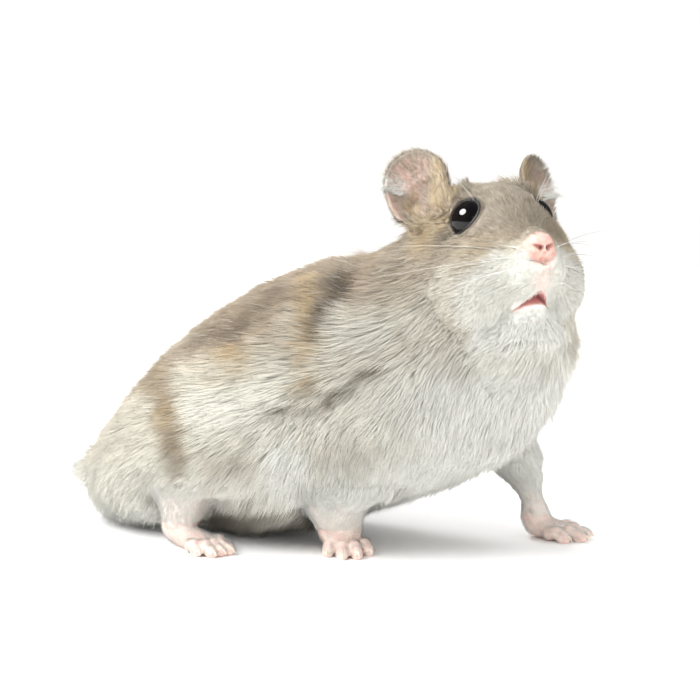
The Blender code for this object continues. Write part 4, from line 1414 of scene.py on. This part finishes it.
# %% The tree
def coat_tree():
    tree, inside, out = group_tree("coat", "GeometryNodeTree", [
        ("Skin", GEOMETRY, None), ("Tuft", "NodeSocketObject", None), ("Share", NUMBER, 1.0),
        ("Seed", WHOLE, 0), ("Length", NUMBER, 1.0), ("Width", NUMBER, 1.0), ("Gather", NUMBER, 0.37),
        ("Locks", NUMBER, 9.0), ("Stray", NUMBER, 0.24), ("Bow", NUMBER, 0.085), ("Finish", FINISH, None),
    ], [("Coat", GEOMETRY)])
    upright, angle, long = named("skin normal", ROWS), named("hair lift"), named("hair length")
    place = node("GeometryNodeInputPosition")
    way = vector("ADD", scaled(named("lie", ROWS), calc("COSINE", angle)),
                 scaled(upright, calc("SINE", angle)))
    # Slow drift makes whole locks lean one way or the other.
    drift = vector("SUBTRACT", noise(place, 420.0, out=1), (0.5, 0.5, 0.5))
    way = vector("ADD", way, scaled(drift, 0.75))
    roots = strewn(inside["Skin"], times(named("hair density"), 1e6, inside["Share"]), inside["Seed"])
    # The number of locks falls with the length of the hair.
    sparse = calc("POWER", times(long, 1000.0), -1.23)
    locks = strewn(inside["Skin"], times(sparse, inside["Locks"], 1e6), LOCK_SEED)
    nearest = node("GeometryNodeSampleNearest", {"Geometry": locks}, domain="POINT")

    def from_lock(value, kind=ROWS):
        return node("GeometryNodeSampleIndex", {"Geometry": locks, "Index": nearest, "Value": value},
                    data_type=kind, domain="POINT")

    lock_tip = from_lock(vector("ADD", place, scaled(way, times(long, chance(0.85, 1.15, 5)))))
    lock_tone = from_lock(chance(0.0, 1.0, 6), "FLOAT")
    stray = node("FunctionNodeRandomValue", {0: (-1.0, -1.0, -1.0), 1: (1.0, 1.0, 1.0), 8: 9},
                 data_type=ROWS)
    own_way = vector("NORMALIZE", vector("ADD", way, scaled(stray, inside["Stray"])))
    own_long = times(long, inside["Length"], chance(0.72, 1.10, 10))
    own_tip = vector("ADD", place, scaled(own_way, own_long))
    # A root far from its lock's root is drawn less, so that locks stay slender.
    away = vector("SUBTRACT", place, from_lock(place))
    drawn = vector("ADD", lock_tip, scaled(away, 0.12))
    mixed = node("ShaderNodeMix", {0: times(inside["Gather"], chance(0.6, 1.15, 11)), 4: own_tip,
                                   5: drawn}, 1, data_type="VECTOR", factor_mode="UNIFORM")
    way_to_tip = vector("SUBTRACT", mixed, place)
    reach = node("ShaderNodeVectorMath", {0: way_to_tip}, "Value", operation="LENGTH")
    reach = calc("MINIMUM", reach, times(own_long, 1.25))
    turn = node("FunctionNodeAxesToRotation", {"Primary Axis": way_to_tip, "Secondary Axis": upright},
                primary_axis="Z", secondary_axis="X")
    wide = times(named("hair width"), inside["Width"], chance(0.7, 1.3, 12))
    size = node("ShaderNodeCombineXYZ", {0: wide, 1: wide, 2: reach})
    tone = calc("ADD", times(chance(0.0, 1.0, 13), 0.5), times(lock_tone, 0.5))
    bow = times(reach, inside["Bow"], chance(0.6, 1.4, 14))
    points = store(roots, "tone", tone)
    points = store(points, "bow", scaled(upright, bow), ROWS)
    shape_of_tuft = node("GeometryNodeObjectInfo", {"Object": inside["Tuft"]}, "Geometry")
    hairs = node("GeometryNodeInstanceOnPoints", {
        "Points": points, "Instance": shape_of_tuft, "Rotation": turn, "Scale": size})
    hairs = node("GeometryNodeRealizeInstances", {0: hairs})
    hairs = node("GeometryNodeSetPosition", {
        "Geometry": hairs, "Offset": scaled(named("bow", ROWS), named("belly"))})
    # Tips that would sink into the floor lie along it, and none pass far beyond the solids on the left.
    within = vector("MINIMUM", vector("MAXIMUM", place, (-FAR, -FAR, FLOOR_GAP)),
                    (FAR, SIDE_ROOM * cad_high[1], FAR))
    hairs = node("GeometryNodeSetPosition", {"Geometry": hairs, "Position": within})
    spot = vector("ADD", named(SKIN_MAP, ROWS), named("patch", ROWS))
    hairs = store(hairs, "OFBake", spot, "FLOAT2", "CORNER")
    for unused in ("lie", "hair length", "hair width", "hair lift", "hair density", "mouth", "lid",
                   "hollow", "blush", "bow", "belly", "patch", SKIN_MAP):
        hairs = node("GeometryNodeRemoveAttribute", {"Geometry": hairs, "Name": unused})
    return handed_out(tree, hairs, inside["Finish"], out["Coat"])


coat = coat_tree()
print("coat tree has", len(coat.nodes), "nodes")

# %% [markdown]
# ## Growing the coat
# The coat is grown in eight layers over the whole animal, each with its own seed, so
# that no piece holds too many faces. Together they lie as close as real fur.

# %% Grow
LAYERS = 8
SHOWN_LAYERS = LAYERS
FULLNESS = 0.8  # share of the densities above
FIRST_SEED = 100


def from_tree(made, tree, values):
    """The mesh that a Geometry Nodes tree makes of an object; inputs are set by identifier."""
    modifier = made.modifiers.new(tree.name, "NODES")
    modifier.node_group = tree
    for item in tree.interface.items_tree:
        if item.item_type == "SOCKET" and item.in_out == "INPUT" and item.name in values:
            modifier[item.identifier] = values[item.name]
    return settled(made)


coats = []
for layer in range(SHOWN_LAYERS):
    coats.append(from_tree(put_in_scene("coat_%d" % (layer + 1), skin.data), coat, {
        "Tuft": tuft, "Finish": hair_finish, "Seed": FIRST_SEED + layer, "Share": FULLNESS / LAYERS,
        "Width": 1.12}))
    print(coats[-1].name, len(coats[-1].data.polygons), "faces")

# %% [markdown]
# ## Eyes
# A hamster's eye is nearly all pupil: a black, very wet ball that bulges from the head.
# Eyes, claws and whiskers share one maker of finishes: two close colours and two
# degrees of gloss, mixed by a grain.

# %% Eyes
def grained(name, grain, first, second, gloss, gloss_from=(0.2, 0.8), **more):
    """A finish whose colour and roughness follow the grain's noise, or its tone if none."""
    made = material(name)
    share = noise(object_place(), grain) if grain else painted("tone")
    return dressed(made, {
        "Base Color": blended(ranged(share, 0.3, 0.7), paint(*first), paint(*second)),
        "Roughness": ranged(share, *gloss_from, *gloss)} | more)


eye_finish = grained("eye", 900.0, (6, 5, 6), (17, 12, 11), (0.03, 0.06), **{"Specular IOR Level": 0.35})
eyes = {}
for side in SIDES:
    shape = bmesh.new()
    egg(shape, EYE_SPOT[side], [EYE_RADIUS] * 3, segments=64)
    eyes[side] = object_from(shape, "eyeball_" + side)
    finished(eyes[side].data, eye_finish)
print("eyes", EYE_RADIUS * 2, "mm across")

# %% [markdown]
# ## Tongue
# Only its wet front shows between the lips.

# %% Tongue
shape = bmesh.new()
sweep(shape, [(-10.0, 0.0, -9.9, 1.7, 0.8), (-8.0, 0.0, -9.2, 1.8, 0.8), (-6.6, 0.0, -8.9, 1.5, 0.6)],
      HEAD)
tongue = object_from(shape, "wet_tongue")
tongue_finish = material("tongue")
wet_look = placed(bare_skin, {"Place": object_place(), "Mouth": 1.0, "Crease Scale": 3400.0})
finished(tongue.data, dressed(tongue_finish, {
    "Base Color": wet_look["Color"], "Roughness": wet_look["Roughness"], "Coat Weight": 0.5,
    "Normal": bump(wet_look["Height"], 0.6, 0.0001)}))

# %% [markdown]
# ## Claws
# Each toe ends in a short, curved, translucent claw, white to horn coloured.

# %% Claws
CLAW = [(0.0, 1.0, 0.34), (0.4, 1.06, 0.30), (0.75, 0.88, 0.21), (1.1, 0.52, 0.10)]  # ahead, height, size
claw_finish = grained("claw", 3000.0, (240, 226, 210), (226, 204, 180), (0.25, 0.42), **{
    "Subsurface Weight": 0.2, "Subsurface Radius": (1.0, 0.6, 0.4), "Subsurface Scale": 0.0005})
claws = {}
for name, (make, heel, heading) in FEET.items():
    shape = bmesh.new()
    for root, ahead, reach in toe_lines(make):
        base = root + ahead * (reach + make["toe_radius"] * 0.30)
        stations = []
        for part, height, size in CLAW:
            spot = base + ahead * part
            stations.append((spot.x, spot.y, height, size * 0.8, size))
        sweep(shape, stations, foot_axes(heel, heading), steps=3, sides=10, rounds=3)
    claws[name] = object_from(shape, "claws_" + name)
    finished(claws[name].data, claw_finish)
print("claws on", len(claws), "feet")

# %% [markdown]
# ## Whiskers
# They spring in rows from the pads beside the nose, with a few above the eyes and on
# the chin. Each is a tapering, bowed bristle, dark or white.

# %% Whisker tree
def whisker_tree():
    tree, inside, out = group_tree("whisker", "GeometryNodeTree", [
        ("Lines", GEOMETRY, None), ("Root Radius", NUMBER, 0.000028), ("Sides", WHOLE, 5),
        ("Finish", FINISH, None)], [("Whiskers", GEOMETRY)])
    lines = node("GeometryNodeMeshToCurve", {"Mesh": inside["Lines"]})
    share = node("GeometryNodeSplineParameter", out="Factor")
    taper = calc("MAXIMUM", calc("SUBTRACT", 1.0, share), 0.12)
    radius = times(inside["Root Radius"], calc("POWER", taper, 0.7))
    lines = node("GeometryNodeSetCurveRadius", {"Curve": lines, "Radius": radius})
    around = node("GeometryNodeCurvePrimitiveCircle", {"Resolution": inside["Sides"], "Radius": 1.0})
    tubes = node("GeometryNodeCurveToMesh", {"Curve": lines, "Profile Curve": around, "Scale": radius,
                                             "Fill Caps": True})
    tubes = node("GeometryNodeRealizeInstances", {0: tubes})
    return handed_out(tree, tubes, inside["Finish"], out["Whiskers"])


# %% Whisker lines
WHISKER_STEPS = 14
WHISKER_SEEDS = {"left": (5, 15), "right": (6, 16)}  # for the lines and for the tones


def whisker_lines(side):
    """Lines in the head's axes, made from rows of root, way, length and bow."""
    luck = np.random.default_rng(WHISKER_SEEDS[side][0])
    lines = []
    for row in range(4):
        for step in range(6):
            lines.append(((-2.6 - 0.95 * step, (1.9 + 0.42 * step), -1.4 - 1.15 * row + 0.12 * step),
                          (0.10 - 0.24 * step, 1.0, 0.34 - 0.26 * row),
                          (6.5 + 2.2 * step) * luck.uniform(0.75, 1.15), (-0.35, 0.0, -0.25 + 0.1 * row)))
    for step in range(3):
        lines.append(((-9.0 - 1.2 * step, 5.0 + 0.5 * step, 8.9), (0.1, 0.7, 1.0),
                      7.0 * luck.uniform(0.8, 1.1), (-0.4, 0.2, -0.1)))
    for step in range(4):
        lines.append(((-5.5 - 1.3 * step, 1.2 + 0.6 * step, -11.0), (0.2, 0.5, -1.0),
                      3.5 * luck.uniform(0.8, 1.2), (-0.4, 0.0, 0.0)))
    t = np.linspace(0.0, 1.0, WHISKER_STEPS)[:, None]
    found = []
    for root, way, long, bow in lines:
        way = unit(np.array(way) + luck.normal(size=3) * 0.07)
        found.append((np.array(root) + way * long * t + np.array(bow) * 0.55 * long * t ** 2)
                     * (1.0, SIDES[side], 1.0))
    return found


# %% Whiskers
PAST_BOX = 0.022  # how far whiskers may reach past the solids' box, as a share of its side
surface = BVHTree.FromPolygons([Vector(p) for p in points_of(skin.data)[0]],
                               [tuple(polygon.vertices) for polygon in skin.data.polygons])
ROOM = [(low / MM - PAST_BOX * (high - low) / MM, high / MM + PAST_BOX * (high - low) / MM)
        for low, high in zip(cad_low, cad_high)]


def kept_in_room(line):
    """The line, shortened until it stays inside the room."""
    shrink = 1.0
    for point in line:
        for axis in range(3):
            run = point[axis] - line[0][axis]
            for wall, past in zip(ROOM[axis], (point[axis] < ROOM[axis][0], point[axis] > ROOM[axis][1])):
                if past:
                    shrink = min(shrink, (wall - line[0][axis]) / run)
    return line[0] + (line - line[0]) * shrink


def make_whiskers(side):
    luck = np.random.default_rng(WHISKER_SEEDS[side][1])
    verts, edges, tones = [], [], []
    for line in whisker_lines(side):
        line = line @ HEAD_TURN.T + np.array(NOSE_TIP)
        root, out, _, _ = surface.find_nearest(Vector(line[0]))
        line = line + np.array(root) - line[0]
        rise = (line - line[0]) @ np.array(out)
        lack = most(0.0, 0.25 * span(line - line[0]) - rise)
        line = kept_in_room(line + np.array(out) * lack[:, None])
        edges.extend((len(verts) + i, len(verts) + i + 1) for i in range(WHISKER_STEPS - 1))
        verts.extend(line * MM)
        tones.extend([luck.random()] * WHISKER_STEPS)
    mesh = bpy.data.meshes.new("whiskers_" + side)
    mesh.from_pydata([tuple(v) for v in verts], edges, [])
    keep_on(mesh, "tone", np.array(tones))
    return from_tree(put_in_scene("whiskers_" + side, mesh), whisker_maker, {"Finish": whisker_finish})


whisker_maker = whisker_tree()
whisker_finish = grained("whisker", None, (92, 82, 74), (238, 236, 232), (0.3, 0.42), (0.0, 1.0))
whiskers = {side: make_whiskers(side) for side in SIDES}
print("whiskers:", [len(made.data.polygons) for made in whiskers.values()], "faces")

# %% [markdown]
# ## The table
# A plain white table, wide enough to be seamless.

# %% Table
shape = bmesh.new()
bmesh.ops.create_grid(shape, x_segments=1, y_segments=1, size=0.45)
table = object_from(shape, "table")
table_finish = material("table")
table_colour = blended(noise(object_place(), 90.0), paint(253, 253, 253), paint(254, 254, 254))
table.data.materials.append(dressed(table_finish, {"Base Color": table_colour, "Roughness": 0.6}))
table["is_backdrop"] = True

# %% [markdown]
# ## Riding and replacing
# The animal is one still body, so everything rides on the root.

# %% Attach to the root, hide the solids
for piece, slot in [(skin, "bare_skin"), (tongue, "tongue"), *[(layer, "coat") for layer in coats],
                    *[(made, "eye") for made in eyes.values()],
                    *[(made, "whisker") for made in whiskers.values()],
                    *[(made, "claw") for made in claws.values()]]:
    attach(piece, "root")
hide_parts(*FLESH, "nose", "ear_left", "ear_right", *FEET)
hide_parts("tongue")
for side in SIDES:
    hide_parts("eye_" + side)
for made in [made for made in bpy.data.objects if made.name.startswith(("clay", "ear shell"))]:
    bpy.data.objects.remove(made)

# %% Sizes
low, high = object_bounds()
print("the model fills", [round((b - a) / MM, 1) for a, b in zip(low, high)], "mm")
